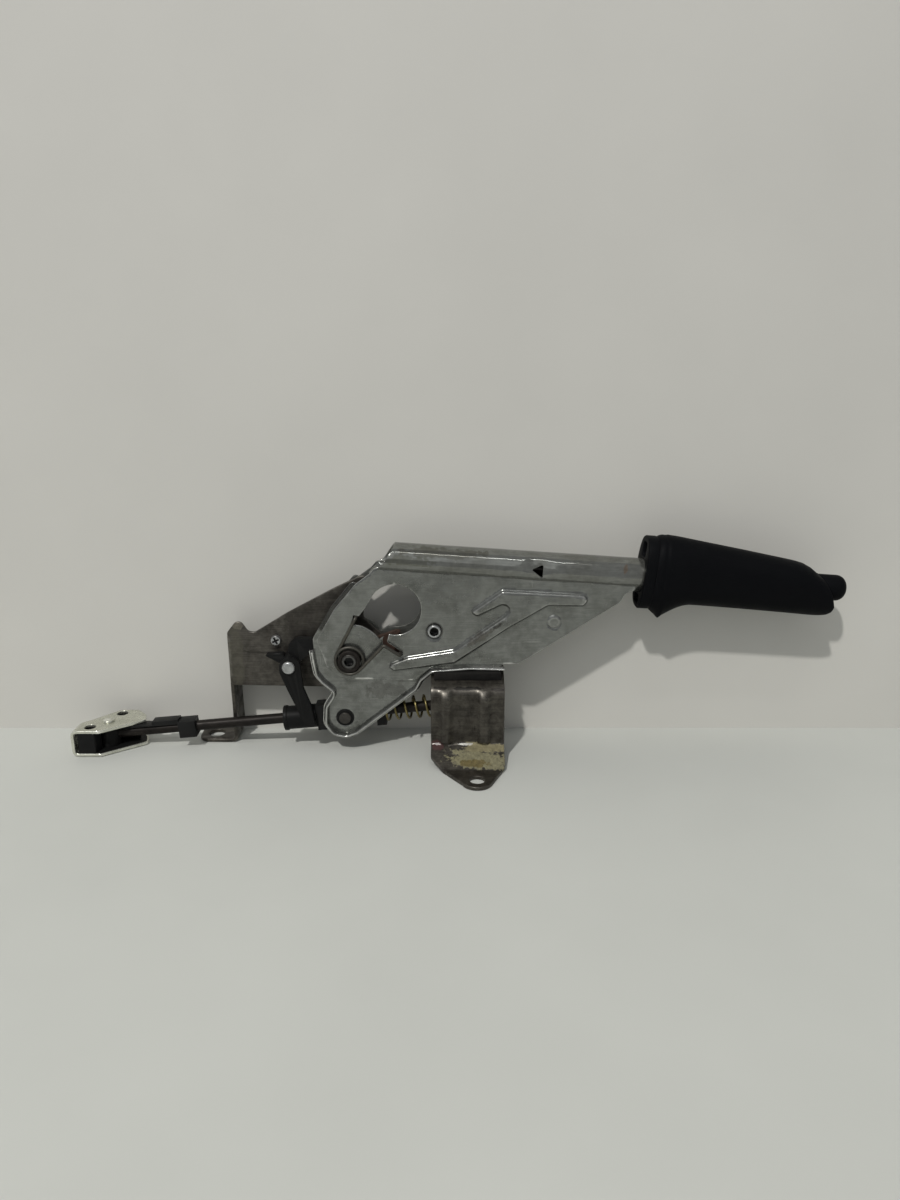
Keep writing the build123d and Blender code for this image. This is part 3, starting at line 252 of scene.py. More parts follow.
RIB_OUTLINE = [
    (26.4, -2.4), (38.0, 2.2), (67.6, 7.0), (99.5, 29.6), (103.7, 34.2), (99.6, 37.0),
    (82.6, 28.4), (77.7, 32.5), (98.7, 47.6), (152.1, 44.6), (155.0, 40.1), (151.7, 35.6),
    (128.7, 36.0), (104.3, 21.3), (68.8, -3.2), (28.5, -8.8), (24.6, -5.8),
]
RIB_SLOPE = 2.1
BOSS_SLOT = [(24.5, 18.0), LEVER_ARM, LEVER_HOOK]
OPENING_SIDE = [(14.5, 40.5), (9.4, 32.5), (6.0, 28.5), (8.0, 25.5), (20.0, 20.0), (25.0, 30.0)]
EQ_OUTLINE = [
    (EQ_X - 20, -17.5), (EQ_X - 1, -17.5), (EQ_X + 24.5, 1.5), (EQ_X + 22, 10.0),
    (EQ_X + 14, 18.0), (EQ_X + 2, 17.5), (EQ_X - 12, 1.0), (EQ_X - 20, -6.0),
]
CABLE_NEAR = (-175.0, -10.5)
CABLE_FAR = (-161.0, 12.0)
CABLE_HOLE_R = 3.75

# Grip: distance along the tube, reach above and below the tube's axis, half width
GRIP_MOUTH, GRIP_END = 195.5, 310.0
GRIP_BORE_R = 11.05
GRIP_BORE = (203.0, 283.0)
BUTTON_BORE_R = 8.75
GRIP_POINTS = 72
MOUTH_SLANT = 0.045
GRIP_SECTIONS = [
    (195.5, 25.6, 20.4, 15.6), (197.2, 26.8, 21.2, 16.1), (199.6, 27.3, 21.2, 16.3),
    (200.8, 27.0, 20.6, 16.1), (203.0, 27.4, 20.0, 16.4), (210.0, 26.9, 18.0, 16.3),
    (222.0, 25.2, 16.9, 15.8), (253.0, 21.0, 17.4, 14.9), (282.0, 16.8, 18.2, 14.1),
    (296.0, 14.7, 18.7, 13.5), (304.0, 12.6, 18.9, 12.9), (308.0, 10.4, 18.8, 12.2),
    (GRIP_END, 8.9, 18.6, 11.5),
]
# How far the slanting end of the grip stands out, by height above the tube's axis
GRIP_SLANT = [(-19.0, -2.0), (-17.0, 1.0), (-14.5, 3.0), (-11.0, 3.6), (-3.0, 0.4), (9.0, -7.5)]

# How far the camera looks down, in degrees
CAMERA_DOWN = 17.0

# Corners flatter than this stay as they are, and grid rows stand this far apart, in steps
NEARLY_STRAIGHT = math.radians(88)
GRID_ROW = 0.87


def at(x, y, z):
    """A place in the row frame, in metres, from millimetres about the main pivot."""
    return (Vector((x, y, z)) + PIVOT) * MM


def tube_axis(x):
    """Height of the handle tube's axis above the pivot."""
    return TUBE_HEIGHT - x * TUBE_TAN


def on_tube(s, side, up):
    """A place given by its distance along the tube from the pivot, sideways and upwards."""
    return at(s * TUBE_COS + up * TUBE_SIN, side, TUBE_HEIGHT - s * TUBE_SIN + up * TUBE_COS)


def on_rod(s, side, up):
    """A place given by its distance along the pull rod from the trunnion, sideways and upwards."""
    return at(EAR_PIN[0] + s * ROD_COS - up * ROD_SIN, side, EAR_PIN[1] + s * ROD_SIN + up * ROD_COS)


def polar(radius, angle, centre=(0.0, 0.0)):
    """Point round a centre."""
    turn = math.radians(angle)
    return (centre[0] + radius * math.cos(turn), centre[1] + radius * math.sin(turn))


# Flat outlines

def rounded(points, radius, steps=6, closed=True, share=0.48):
    """A line in a plane or in space with rounded corners, each up to a share of its sides."""
    made = []
    for i, point in enumerate(points):
        corner = Vector(point)
        before = Vector(points[i - 1]) - corner
        after = Vector(points[(i + 1) % len(points)]) - corner
        at_end = not closed and i in (0, len(points) - 1)
        half = math.pi / 2 if at_end else before.angle(after) / 2
        if half > NEARLY_STRAIGHT:
            made.append(tuple(corner))
            continue
        back = min(radius / math.tan(half), before.length * share, after.length * share)
        start = corner + before.normalized() * back
        end = corner + after.normalized() * back
        for t in (k / steps for k in range(steps + 1)):
            made.append(tuple(start * (1 - t) ** 2 + corner * 2 * t * (1 - t) + end * t * t))
    return made


def circle(centre, radius, count=40):
    """Points round a circle."""
    return [polar(radius, 360 * k / count, centre) for k in range(count)]


def offset_line(points, width):
    """A round-ended closed band along a path."""
    left, right = [], []
    path = [Vector(p) for p in points]
    for i, point in enumerate(path):
        ahead = (path[min(i + 1, len(path) - 1)] - path[max(i - 1, 0)]).normalized()
        normal = Vector((-ahead.y, ahead.x)) * width / 2
        left.append(tuple(point + normal))
        right.append(tuple(point - normal))
    ends = []
    for tip, inner in ((path[-1], path[-2]), (path[0], path[1])):
        start = math.degrees(math.atan2((tip - inner).y, (tip - inner).x)) + 90
        ends.append([polar(width / 2, start - 30 * k, tip) for k in range(1, 6)])
    return left + ends[0] + right[::-1] + ends[1]


def spread(points, step):
    """An outline with more points along its long sides."""
    made = []
    for a, b in zip(points, points[1:] + points[:1]):
        a, b = Vector(a), Vector(b)
        parts = max(1, round((b - a).length / step))
        made += [tuple(a.lerp(b, k / parts)) for k in range(parts)]
    return made


def inset(points, width):
    """An outline moved into its material."""
    points = points if area(points) > 0 else points[::-1]
    return [tuple(q) for q in np.array(points) - outward(points) * width]


def area(points):
    """Signed area of a closed outline."""
    return sum(a[0] * b[1] - b[0] * a[1] for a, b in zip(points, points[1:] + points[:1])) / 2


def outward(points):
    """Mitred normals of a closed outline that keeps its material on the left."""
    p = np.array(points)
    ahead = np.roll(p, -1, 0) - p
    ahead /= np.maximum(np.linalg.norm(ahead, axis=1, keepdims=True), 1e-9)
    n = np.stack([ahead[:, 1], -ahead[:, 0]], 1)
    both = n + np.roll(n, 1, 0)
    both /= np.maximum(np.linalg.norm(both, axis=1, keepdims=True), 1e-9)
    return both / np.maximum((both * n).sum(1, keepdims=True), 0.5)


def inside(points, loops):
    """True for each point that an odd number of loops hold."""
    p = np.asarray(points, float)
    held = np.zeros(len(p), bool)
    for loop in loops:
        a = np.array(loop)
        b = np.roll(a, -1, 0)
        for (ax, ay), (bx, by) in zip(a, b):
            if ay == by:
                continue
            level = (ay > p[:, 1]) != (by > p[:, 1])
            held ^= level & (p[:, 0] < (bx - ax) * (p[:, 1] - ay) / (by - ay) + ax)
    return held


def line_distance(p, path):
    """Distance of each point from a path of straight runs."""
    best = np.full(len(p), 1e9)
    for a, b in zip(path, path[1:]):
        a, b = np.array(a, float), np.array(b, float)
        d = b - a
        t = np.clip(((p - a) @ d) / (d @ d), 0, 1)
        best = np.minimum(best, np.linalg.norm(p - a - t[:, None] * d, axis=1))
    return best


def fade(value, start, end):
    """Smooth step from 0 at start to 1 at end."""
    t = np.clip((value - start) / (end - start), 0, 1)
    return t * t * (3 - 2 * t)


def away(p, centre):
    """Distance of each point from a centre."""
    return np.linalg.norm(p - np.array(centre), axis=1)


def wave(p, height, rates, shifts=(0.0, 0.0)):
    """A slow unevenness over the points of a sheet."""
    return height * np.sin(p[:, 0] * rates[0] + shifts[0]) * np.sin(p[:, 1] * rates[1] + shifts[1])


def triangulated(loops, extra=()):
    """A flat patch with edges along its loops: points, triangles, first points and places taken."""
    flat = [tuple(q) for loop in loops for q in loop] + [tuple(q) for q in extra]
    edges, starts, start = [], [], 0
    for loop in loops:
        starts.append(start)
        edges += [(start + k, start + (k + 1) % len(loop)) for k in range(len(loop))]
        start += len(loop)
    points, _, faces, origin, _, _ = delaunay_2d_cdt([Vector(q) for q in flat], edges, [], 0, 1e-5)
    found = {i: k for k, ids in enumerate(origin) for i in ids}
    return np.array([tuple(q) for q in points]), faces, starts, found


def joined(loops):
    """One outline round loops that overlap."""
    points, faces, _, _ = triangulated(loops)
    middle = np.array([points[list(f)].mean(0) for f in faces])
    held = np.any([inside(middle, [loop]) for loop in loops], axis=0)
    sides = {(a, b) for f, keep in zip(faces, held) if keep for a, b in zip(f, list(f[1:]) + [f[0]])}
    after = {a: b for a, b in sides if (b, a) not in sides}
    walk = [min(after, key=lambda k: points[k][0])]
    while after[walk[-1]] != walk[0]:
        walk.append(after[walk[-1]])
    return [tuple(points[k]) for k in walk]


# Mesh makers

def linked(name, data):
    """A new object in the scene."""
    made = bpy.data.objects.new(name, data)
    bpy.context.scene.collection.objects.link(made)
    return made


def shade_smooth(mesh, sharp):
    """Shades a mesh smooth, but for its edges sharper than an angle."""
    mesh.polygons.foreach_set("use_smooth", [True] * len(mesh.polygons))
    mesh.set_sharp_from_angle(angle=math.radians(sharp))


def face_outwards(mesh, merge=True):
    """Turns a closed mesh's faces outwards, after its doubles are merged."""
    work = bmesh.new()
    work.from_mesh(mesh)
    if merge:
        bmesh.ops.remove_doubles(work, verts=work.verts, dist=1e-6)
    bmesh.ops.recalc_face_normals(work, faces=work.faces)
    work.to_mesh(mesh)
    work.free()


def new_piece(name, vertices, faces, finish, sharp=38.0):
    """A finished mesh object with its normals outwards and its material set."""
    mesh = bpy.data.meshes.new(name)
    mesh.from_pydata([tuple(v) for v in vertices], [], faces)
    face_outwards(mesh)
    shade_smooth(mesh, sharp)
    mesh.materials.append(material(finish))
    return linked(name, mesh)


def mount(piece, body, slot, *nodes):
    """Puts a piece on its body, in the place of the CAD nodes that it stands for."""
    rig.ride(piece, body)
    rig.slot(piece, slot)
    if nodes:
        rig.replaces(piece, *nodes)
    return piece


def sheet_grid(loops, creases, step, edge):
    """Points of a triangular grid inside a sheet, clear of its edges and creases."""
    low, high = np.array(loops[0]).min(0), np.array(loops[0]).max(0)
    grid = np.array([
        (x + (step / 2 if row % 2 else 0), y)
        for row, y in enumerate(np.arange(low[1], high[1], step * GRID_ROW))
        for x in np.arange(low[0], high[0], step)
    ])
    grid = grid[inside(grid, loops)]
    lines = [(loop, step * 0.45 + edge) for loop in loops] + [(line, step * 0.3) for line in creases]
    for line, clear in lines:
        if len(grid):
            grid = grid[line_distance(grid, list(line) + [line[0]]) > clear]
    return grid


def pressed_sheet(name, outline, holes, place, thickness, finish, relief=None, step=8.0, edge=0.4,
                  creases=()):
    """A sheet with rounded edges, cut to an outline with holes, pressed by relief and bent by place."""
    loops = [outline if area(outline) > 0 else outline[::-1]]
    loops += [hole if area(hole) < 0 else hole[::-1] for hole in holes]
    normals = [outward(loop) for loop in loops]
    inner = [[tuple(q) for q in np.array(loop) - n * edge] for loop, n in zip(loops, normals)]
    grid = sheet_grid(loops, creases, step, edge)
    points, faces, starts, found = triangulated(inner + list(creases), grid)
    middle = np.array([points[list(f)].mean(0) for f in faces])
    faces = [f for f, keep in zip(faces, inside(middle, inner)) if keep]
    height = relief(points) if relief else np.zeros(len(points))
    vertices = [place(u, v, h) for (u, v), h in zip(points, height)]
    back = len(vertices)
    vertices += [place(u, v, h - thickness) for (u, v), h in zip(points, height)]
    made = [tuple(f) for f in faces] + [tuple(k + back for k in reversed(f)) for f in faces]
    turns = [math.radians(a) for a in (30, 60, 90)]
    for loop, n, first in zip(inner, normals, starts):
        count = len(loop)
        ids = [found[first + k] for k in range(count)]
        rings = [ids]
        for front, order in ((True, turns), (False, turns[::-1])):
            for turn in order:
                drop = edge * (1 - math.cos(turn))
                below = drop if front else thickness - drop
                rim = np.array(loop) + n * edge * math.sin(turn)
                rings.append(range(len(vertices), len(vertices) + count))
                vertices += [place(u, v, height[i] - below) for (u, v), i in zip(rim, ids)]
        rings.append([k + back for k in ids])
        for a, b in zip(rings, rings[1:]):
            made += [(a[k], a[(k + 1) % count], b[(k + 1) % count], b[k]) for k in range(count)]
    return new_piece(name, vertices, made, finish)


def upright(y):
    """Places a flat outline in a plane that faces the viewer, with its relief towards them."""
    return lambda u, v, h: at(u, y - h, v)


class Fold:
    """A bent line in a plane, walked by its own length."""

    def __init__(self, corners, radius):
        self.line = np.array(rounded(corners, radius, 10, closed=False))
        steps = np.diff(self.line, axis=0)
        lengths = np.linalg.norm(steps, axis=1)
        self.reach = np.concatenate([[0], np.cumsum(lengths)])
        way = steps / lengths[:, None]
        mean = np.vstack([way[:1], way[:-1] + way[1:], way[-1:]])
        mean /= np.linalg.norm(mean, axis=1, keepdims=True)
        self.right = np.stack([mean[:, 1], -mean[:, 0]], 1)
        self.length = self.reach[-1]

    def point(self, t, out):
        """Place at a length along the line, moved out to its right; past its ends it runs on straight."""
        place = np.array([np.interp(t, self.reach, self.line[:, k]) for k in (0, 1)])
        place += [out * np.interp(t, self.reach, self.right[:, k]) for k in (0, 1)]
        for spare, end in ((max(t - self.length, 0), -1), (min(t, 0), 0)):
            place += spare * np.array((-self.right[end, 1], self.right[end, 0]))
        return place

    def length_at(self, axis, value, start=0.0):
        """Length along the line at which a coordinate has a value, after a start."""
        use = self.reach >= start
        x, y = self.line[use, axis], self.reach[use]
        if x[0] > x[-1]:
            x, y = x[::-1], y[::-1]
        return float(np.interp(value, x, y))


def skin(rings, size, closed=False):
    """Faces over rings of points in order, capped at both ends or closed into a loop."""
    faces = []
    for i in range(rings if closed else rings - 1):
        a, b = i * size, (i + 1) % rings * size
        faces += [(a + k, a + (k + 1) % size, b + (k + 1) % size, b + k) for k in range(size)]
    if not closed:
        faces += [tuple(range(size)), tuple(range((rings - 1) * size, rings * size))]
    return faces


def swept_band(name, path, section, place, finish):
    """A closed section carried along an open path; the section is across, then out."""
    p = np.array(path)
    ahead = np.gradient(p, axis=0)
    ahead /= np.linalg.norm(ahead, axis=1, keepdims=True)
    across = np.stack([-ahead[:, 1], ahead[:, 0]], 1)
    vertices = [place(*(p[i] + across[i] * a), h) for i in range(len(path)) for a, h in section]
    return new_piece(name, vertices, skin(len(path), len(section)), finish)


def turned(name, profile, place, finish, count=48):
    """A turned piece: a closed profile of (radius, distance along), carried round by place."""
    turns = [2 * math.pi * k / count for k in range(count)]
    vertices = [place(r * math.cos(turn), r * math.sin(turn), d) for r, d in profile for turn in turns]
    return new_piece(name, vertices, skin(len(profile), count), finish)


def softened(node, finish, width):
    """A copy of a CAD node with its loose triangles merged and its sharp edges rounded."""
    work = bmesh.new()
    work.from_mesh(frame["nodes"][node].data)
    bmesh.ops.remove_doubles(work, verts=work.verts, dist=2e-6)
    bmesh.ops.dissolve_limit(
        work, angle_limit=math.radians(1), use_dissolve_boundaries=False, verts=work.verts,
        edges=work.edges)
    mesh = bpy.data.meshes.new(node + "_smooth")
    work.to_mesh(mesh)
    work.free()
    piece = linked(node + "_smooth", mesh)
    bevel = piece.modifiers.new("edges", "BEVEL")
    bevel.width = width * MM
    bevel.segments = 3
    bevel.limit_method = "ANGLE"
    bevel.angle_limit = math.radians(32)
    bake_modifiers(piece)
    shade_smooth(piece.data, 40)
    piece.data.materials.clear()
    piece.data.materials.append(material(finish))
    return piece


def bake_modifiers(piece):
    """Turns a piece's modifiers into its own mesh."""
    bpy.context.view_layer.update()
    done = bpy.data.meshes.new_from_object(piece.evaluated_get(bpy.context.evaluated_depsgraph_get()))
    piece.modifiers.clear()
    done.name = piece.name
    piece.data = done
    return piece


# Geometry Nodes: a wire of round section along a rule-made path

def wire_tree():
    """Geometry tree that turns a line of points into a round wire."""
    found = bpy.data.node_groups.get("round_wire")
    if found:
        return found
    tree = bpy.data.node_groups.new("round_wire", "GeometryNodeTree")
    inputs = (("Geometry", "Geometry"), ("Radius", "Float"), ("Sides", "Int"), ("Finish", "Material"))
    for label, kind in inputs:
        tree.interface.new_socket(label, in_out="INPUT", socket_type="NodeSocket" + kind)
    tree.interface.new_socket("Geometry", in_out="OUTPUT", socket_type="NodeSocketGeometry")
    net = Net(tree)
    start = net.add("NodeGroupInput").outputs
    line = net.add("GeometryNodeMeshToCurve", inputs={0: start["Geometry"]})
    ring = net.add("GeometryNodeCurvePrimitiveCircle", inputs={
        "Resolution": start["Sides"], "Radius": start["Radius"]})
    tube = net.add("GeometryNodeCurveToMesh", inputs={
        "Curve": line.outputs[0], "Profile Curve": ring.outputs[0], "Fill Caps": True})
    real = net.add("GeometryNodeRealizeInstances", inputs={0: tube.outputs[0]})
    paint = net.add("GeometryNodeSetMaterial", inputs={0: real.outputs[0], "Material": start["Finish"]})
    net.add("NodeGroupOutput", inputs={0: paint.outputs[0]})
    return tree


def wire(name, points, radius, finish):
    """A round wire along points in the row frame."""
    mesh = bpy.data.meshes.new(name)
    mesh.from_pydata([tuple(p) for p in points], [(k, k + 1) for k in range(len(points) - 1)], [])
    piece = linked(name, mesh)
    modifier = piece.modifiers.new("wire", "NODES")
    modifier.node_group = wire_tree()
    sides = bpy.context.scene.brake_lever_sizes.wire_sides
    values = {"Radius": radius * MM, "Sides": sides, "Finish": material(finish)}
    for item in modifier.node_group.interface.items_tree:
        if item.in_out == "INPUT" and item.name in values:
            modifier[item.identifier] = values[item.name]
    bake_modifiers(piece)
    face_outwards(piece.data, merge=False)
    shade_smooth(piece.data, 50)
    return piece


# Node helpers and finishes

class Net:
    """Adds nodes to a tree and joins them."""

    def __init__(self, tree):
        self.tree = tree

    def add(self, kind, inputs=None, **settings):
        """A node with its settings, its values and its links."""
        node = self.tree.nodes.new(kind)
        for key, value in settings.items():
            setattr(node, key, value)
        for key, value in (inputs or {}).items():
            if isinstance(value, bpy.types.NodeSocket):
                self.tree.links.new(value, node.inputs[key])
            else:
                node.inputs[key].default_value = value
        return node

    def maths(self, operation, *values):
        """The result of a sum on one or more values or sockets, taken in turn."""
        inputs = dict(enumerate(values[:2]))
        made = self.add("ShaderNodeMath", operation=operation, inputs=inputs).outputs[0]
        return self.maths(operation, made, *values[2:]) if values[2:] else made

    def times(self, *values):
        """Values or sockets multiplied."""
        return self.maths("MULTIPLY", *values)

    def plus(self, *values):
        """Values or sockets added."""
        return self.maths("ADD", *values)

    def place(self):
        """The place on the piece that is being shaded."""
        return self.add("ShaderNodeTexCoord").outputs["Object"]

    def corner(self, low, high):
        """Mask of the outer edges."""
        return self.remap(self.add("ShaderNodeNewGeometry").outputs["Pointiness"], low, high)

    def grey(self, value):
        """A grey colour from a value."""
        inputs = {"Red": value, "Green": value, "Blue": value}
        return self.add("ShaderNodeCombineColor", inputs=inputs).outputs[0]

    def remap(self, value, low, high, to_low=0.0, to_high=1.0):
        """A value carried from one range to another, clamped."""
        return self.add("ShaderNodeMapRange", inputs={
            "Value": value, "From Min": low, "From Max": high, "To Min": to_low,
            "To Max": to_high}).outputs[0]

    def mix(self, factor, a, b, blend="MIX"):
        """Two colours mixed."""
        inputs = {0: factor, 6: a, 7: b}
        return self.add("ShaderNodeMix", data_type="RGBA", blend_type=blend, inputs=inputs).outputs[2]

    def noise(self, vector, scale, detail=4.0, roughness=0.55, distortion=0.0):
        """Noise over a vector."""
        return self.add("ShaderNodeTexNoise", inputs={
            "Vector": vector, "Scale": scale, "Detail": detail, "Roughness": roughness,
            "Distortion": distortion}).outputs[0]

    def streaks(self, vector, scale, turn, detail, roughness):
        """Noise drawn out into streaks that lie at an angle on the sheet, in degrees."""
        stretched = self.add("ShaderNodeMapping", inputs={
            "Vector": vector, "Rotation": (0, math.radians(turn), 0), "Scale": scale}).outputs[0]
        return self.noise(stretched, 1.0, detail, roughness)


# Inputs of the shader groups, with the values that they start from
WORN_METAL = {
    "Base": (0.5, 0.5, 0.5, 1), "Stain": (0.2, 0.2, 0.2, 1), "Stain Amount": 0.4, "Stain Scale": 40.0,
    # Edge and Edge Amount: pale colour on the outer edges, partly wear and partly painted highlight
    "Edge": (0.8, 0.8, 0.8, 1), "Edge Amount": 0.6, "Roughness": 0.4, "Scratches": 0.3, "Grain": 0.5,
}
MOULDED = {
    "Base": (0.02, 0.02, 0.02, 1), "Dust": (0.16, 0.16, 0.15, 1), "Dust Amount": 0.2,
    "Roughness": 0.5, "Grain Scale": 1800.0,
}


def shader_group(name, inputs):
    """A new shader group that puts out a colour, a roughness and a height."""
    tree = bpy.data.node_groups.new(name, "ShaderNodeTree")
    for label, value in inputs.items():
        kind = "NodeSocketColor" if isinstance(value, tuple) else "NodeSocketFloat"
        tree.interface.new_socket(label, in_out="INPUT", socket_type=kind).default_value = value
    for label, kind in (("Color", "Color"), ("Roughness", "Float"), ("Height", "Float")):
        tree.interface.new_socket(label, in_out="OUTPUT", socket_type="NodeSocket" + kind)
    return tree


def worn_metal_group(name):
    """Shader group: sheet metal with stains, rolling streaks, scratches and bright edges."""
    net = Net(shader_group(name, WORN_METAL))
    into = net.add("NodeGroupInput").outputs
    where = net.place()
    blot = net.remap(net.noise(where, into["Stain Scale"], 7.0, 0.62, 0.35), 0.43, 0.66)
    fine = net.noise(where, 1100.0, 3.0, 0.6)
    cloud = net.noise(where, 260.0, 4.0, 0.6)
    streak = net.streaks(where, (70.0, 900.0, 1300.0), 4, 3.0, 0.6)
    scratch_a = net.streaks(where, (35.0, 900.0, 1500.0), 33, 2.0, 0.5)
    scratch_b = net.streaks(where, (1300.0, 900.0, 40.0), 14, 2.0, 0.5)
    patches = net.remap(net.noise(where, 55.0, 3.0), 0.48, 0.62)
    lines = net.maths("MAXIMUM", net.remap(scratch_a, 0.70, 0.74), net.remap(scratch_b, 0.71, 0.75))
    lines = net.times(lines, patches, into["Scratches"])
    # Pale colour on the outer edges, found by pointiness: partly worn metal, partly painted edge highlight
    edge_wear_and_sheen = net.remap(cloud, 0.3, 0.55, 0.55, 1.0)
    corner = net.times(net.corner(0.515, 0.56), edge_wear_and_sheen, into["Edge Amount"])
    stain = net.times(blot, into["Stain Amount"])
    mottle = net.remap(net.plus(cloud, net.times(streak, 0.8)), 0.74, 1.06, 0.7, 1.25)
    colour = net.mix(stain, into["Base"], into["Stain"])
    colour = net.mix(into["Grain"], colour, net.mix(1.0, colour, net.grey(mottle), "MULTIPLY"))
    colour = net.mix(net.maths("MAXIMUM", corner, lines), colour, into["Edge"])
    rough = net.plus(into["Roughness"], net.times(stain, 0.22), net.remap(cloud, 0.3, 0.7, -0.06, 0.07))
    rough = net.maths("SUBTRACT", rough, net.times(corner, 0.12))
    height = net.times(net.plus(fine, net.times(cloud, 1.4)), into["Grain"])
    height = net.maths("SUBTRACT", height, lines)
    net.add("NodeGroupOutput", inputs={"Color": colour, "Roughness": rough, "Height": height})


def moulded_group(name):
    """Shader group: moulded plastic or rubber with a fine grain, scuffs and dust."""
    net = Net(shader_group(name, MOULDED))
    into = net.add("NodeGroupInput").outputs
    where = net.place()
    cells = net.add("ShaderNodeTexVoronoi", inputs={
        "Vector": where, "Scale": into["Grain Scale"]}).outputs[0]
    cloud = net.noise(where, 70.0, 6.0, 0.65)
    specks = net.remap(net.noise(where, 1500.0, 2.0), 0.66, 0.72)
    dust = net.times(net.plus(net.remap(cloud, 0.45, 0.75), specks), into["Dust Amount"])
    dust = net.plus(dust, net.times(net.corner(0.52, 0.6), 0.12))
    colour = net.mix(dust, into["Base"], into["Dust"])
    rough = net.plus(into["Roughness"], net.remap(cloud, 0.3, 0.7, -0.07, 0.09))
    height = net.plus(cells, net.times(cloud, 0.5))
    net.add("NodeGroupOutput", inputs={"Color": colour, "Roughness": rough, "Height": height})


# The inputs of the group in order, then metallic, bump strength and bump distance in millimetres
METALS = {
    "zinc_sheet": ((0.20, 0.206, 0.194), (0.10, 0.102, 0.09), 0.6, 42.0, (0.7, 0.7, 0.67),
                   0.8, 0.15, 0.4, 0.5, 0.8, 0.14, 0.04),
    "zinc_tube": ((0.19, 0.194, 0.18), (0.115, 0.113, 0.095), 0.6, 42.0, (0.5, 0.5, 0.47),
                  0.12, 0.06, 0.4, 0.4, 0.7, 0.06, 0.03),
    # A darker copy of the zinc sheet for the rear leg and the rear ear plate: painted shade for the lever's own shadow
    "zinc_painted_shade": ((0.13, 0.133, 0.122), (0.07, 0.07, 0.06), 0.6, 42.0, (0.18, 0.18, 0.17),
                   0.3, 0.4, 0.3, 1.0, 0.7, 0.25, 0.05),
    "bare_steel": ((0.072, 0.066, 0.055), (0.018, 0.015, 0.012), 0.85, 130.0, (0.18, 0.17, 0.15),
                   0.4, 0.33, 0.4, 1.0, 0.7, 0.5, 0.09),
    "plate_steel": ((0.078, 0.072, 0.062), (0.036, 0.031, 0.026), 0.7, 60.0, (0.2, 0.19, 0.165),
                    0.5, 0.33, 0.4, 1.0, 0.65, 0.45, 0.08),
    "dark_steel": ((0.042, 0.039, 0.035), (0.02, 0.017, 0.014), 0.6, 90.0, (0.2, 0.19, 0.17),
                   0.4, 0.38, 0.3, 0.8, 0.6, 0.3, 0.05),
    "rod_steel": ((0.017, 0.0145, 0.0125), (0.008, 0.007, 0.006), 0.6, 90.0, (0.07, 0.062, 0.055),
                  0.3, 0.38, 0.3, 0.8, 0.3, 0.3, 0.05),
    "rusty_edge": ((0.02, 0.015, 0.012), (0.028, 0.012, 0.009), 0.8, 120.0, (0.18, 0.1, 0.07),
                   0.3, 0.55, 0.2, 0.8, 0.35, 0.4, 0.06),
    "bright_steel": ((0.42, 0.43, 0.43), (0.2, 0.2, 0.19), 0.5, 160.0, (0.8, 0.8, 0.8),
                     0.5, 0.28, 0.3, 0.5, 0.85, 0.2, 0.03),
    "yellow_zinc": ((0.60, 0.605, 0.52), (0.36, 0.36, 0.285), 0.35, 90.0, (0.9, 0.9, 0.84),
                    0.8, 0.24, 0.4, 0.2, 0.8, 0.06, 0.03),
    "spring_steel": ((0.055, 0.054, 0.047), (0.025, 0.023, 0.019), 0.6, 150.0, (0.2, 0.18, 0.14),
                     0.2, 0.36, 0.2, 0.6, 0.6, 0.2, 0.03),
    "oily_spring": ((0.15, 0.12, 0.05), (0.03, 0.026, 0.018), 0.85, 130.0, (0.5, 0.42, 0.16),
                    0.3, 0.26, 0.2, 0.5, 0.8, 0.2, 0.03),
}
PLASTICS = {
    "grip_plastic": ((0.0034, 0.0037, 0.0044), (0.02, 0.021, 0.022), 0.03, 0.5, 1700.0,
                     0.0, 0.22, 0.12),
    "black_plastic": ((0.0085, 0.0087, 0.0086), (0.05, 0.05, 0.048), 0.06, 0.36, 2600.0,
                      0.0, 0.12, 0.05),
    "stop_rubber": ((0.006, 0.006, 0.006), (0.07, 0.065, 0.058), 0.15, 0.7, 2200.0, 0.0, 0.3, 0.1),
}
# Specular level of the finishes that shine less than the usual 0.5
SPECULAR = {"grip_plastic": 0.04, "black_plastic": 0.08, "stop_rubber": 0.05, "rod_steel": 0.15}
GROUPS = {
    "worn_metal": (worn_metal_group, WORN_METAL, METALS),
    "moulded": (moulded_group, MOULDED, PLASTICS),
}


def patch_mask(net, where, centre, half, turn, ragged, scale, square):
    """Soft mask of a round or square patch with torn edges, in the row frame."""
    local = net.add("ShaderNodeMapping", vector_type="TEXTURE", inputs={
        "Vector": where, "Location": at(*centre), "Rotation": (0, math.radians(turn), 0),
        "Scale": [h * MM for h in half]}).outputs[0]
    if square:
        part = net.add("ShaderNodeSeparateXYZ", inputs={0: local}).outputs
        sides = [net.maths("ABSOLUTE", part[k]) for k in range(3)]
        reach = net.maths("MAXIMUM", *sides)
    else:
        reach = net.add("ShaderNodeVectorMath", operation="LENGTH", inputs={0: local}).outputs["Value"]
    torn = net.remap(net.noise(where, scale, 6.0, 0.62), 0.3, 0.7, -ragged, ragged)
    return net.remap(net.plus(reach, torn), 1.07, 0.93)


def add_mark(net, where, look, centre, half, ragged, scale, tint, strength, turn=0, crust=0.0,
             square=False):
    """A mark laid over a finish's colour, roughness, height and metallic."""
    colour, rough, height, shine = look
    mask = net.times(patch_mask(net, where, centre, half, turn, ragged, scale, square), strength)
    blotch = net.noise(where, 420.0, 6.0, 0.7)
    shade = net.grey(net.remap(blotch, 0.3, 0.7, 0.55, 1.25))
    colour = net.mix(mask, colour, net.mix(1.0, (*tint, 1.0), shade, "MULTIPLY"))
    rough = net.plus(rough, net.times(mask, crust * 0.35))
    height = net.plus(height, net.times(mask, net.remap(blotch, 0.3, 0.7, 1.5, 4.0), crust))
    if crust:
        shine = net.times(shine, net.maths("SUBTRACT", 1.0, mask))
    return colour, rough, height, shine


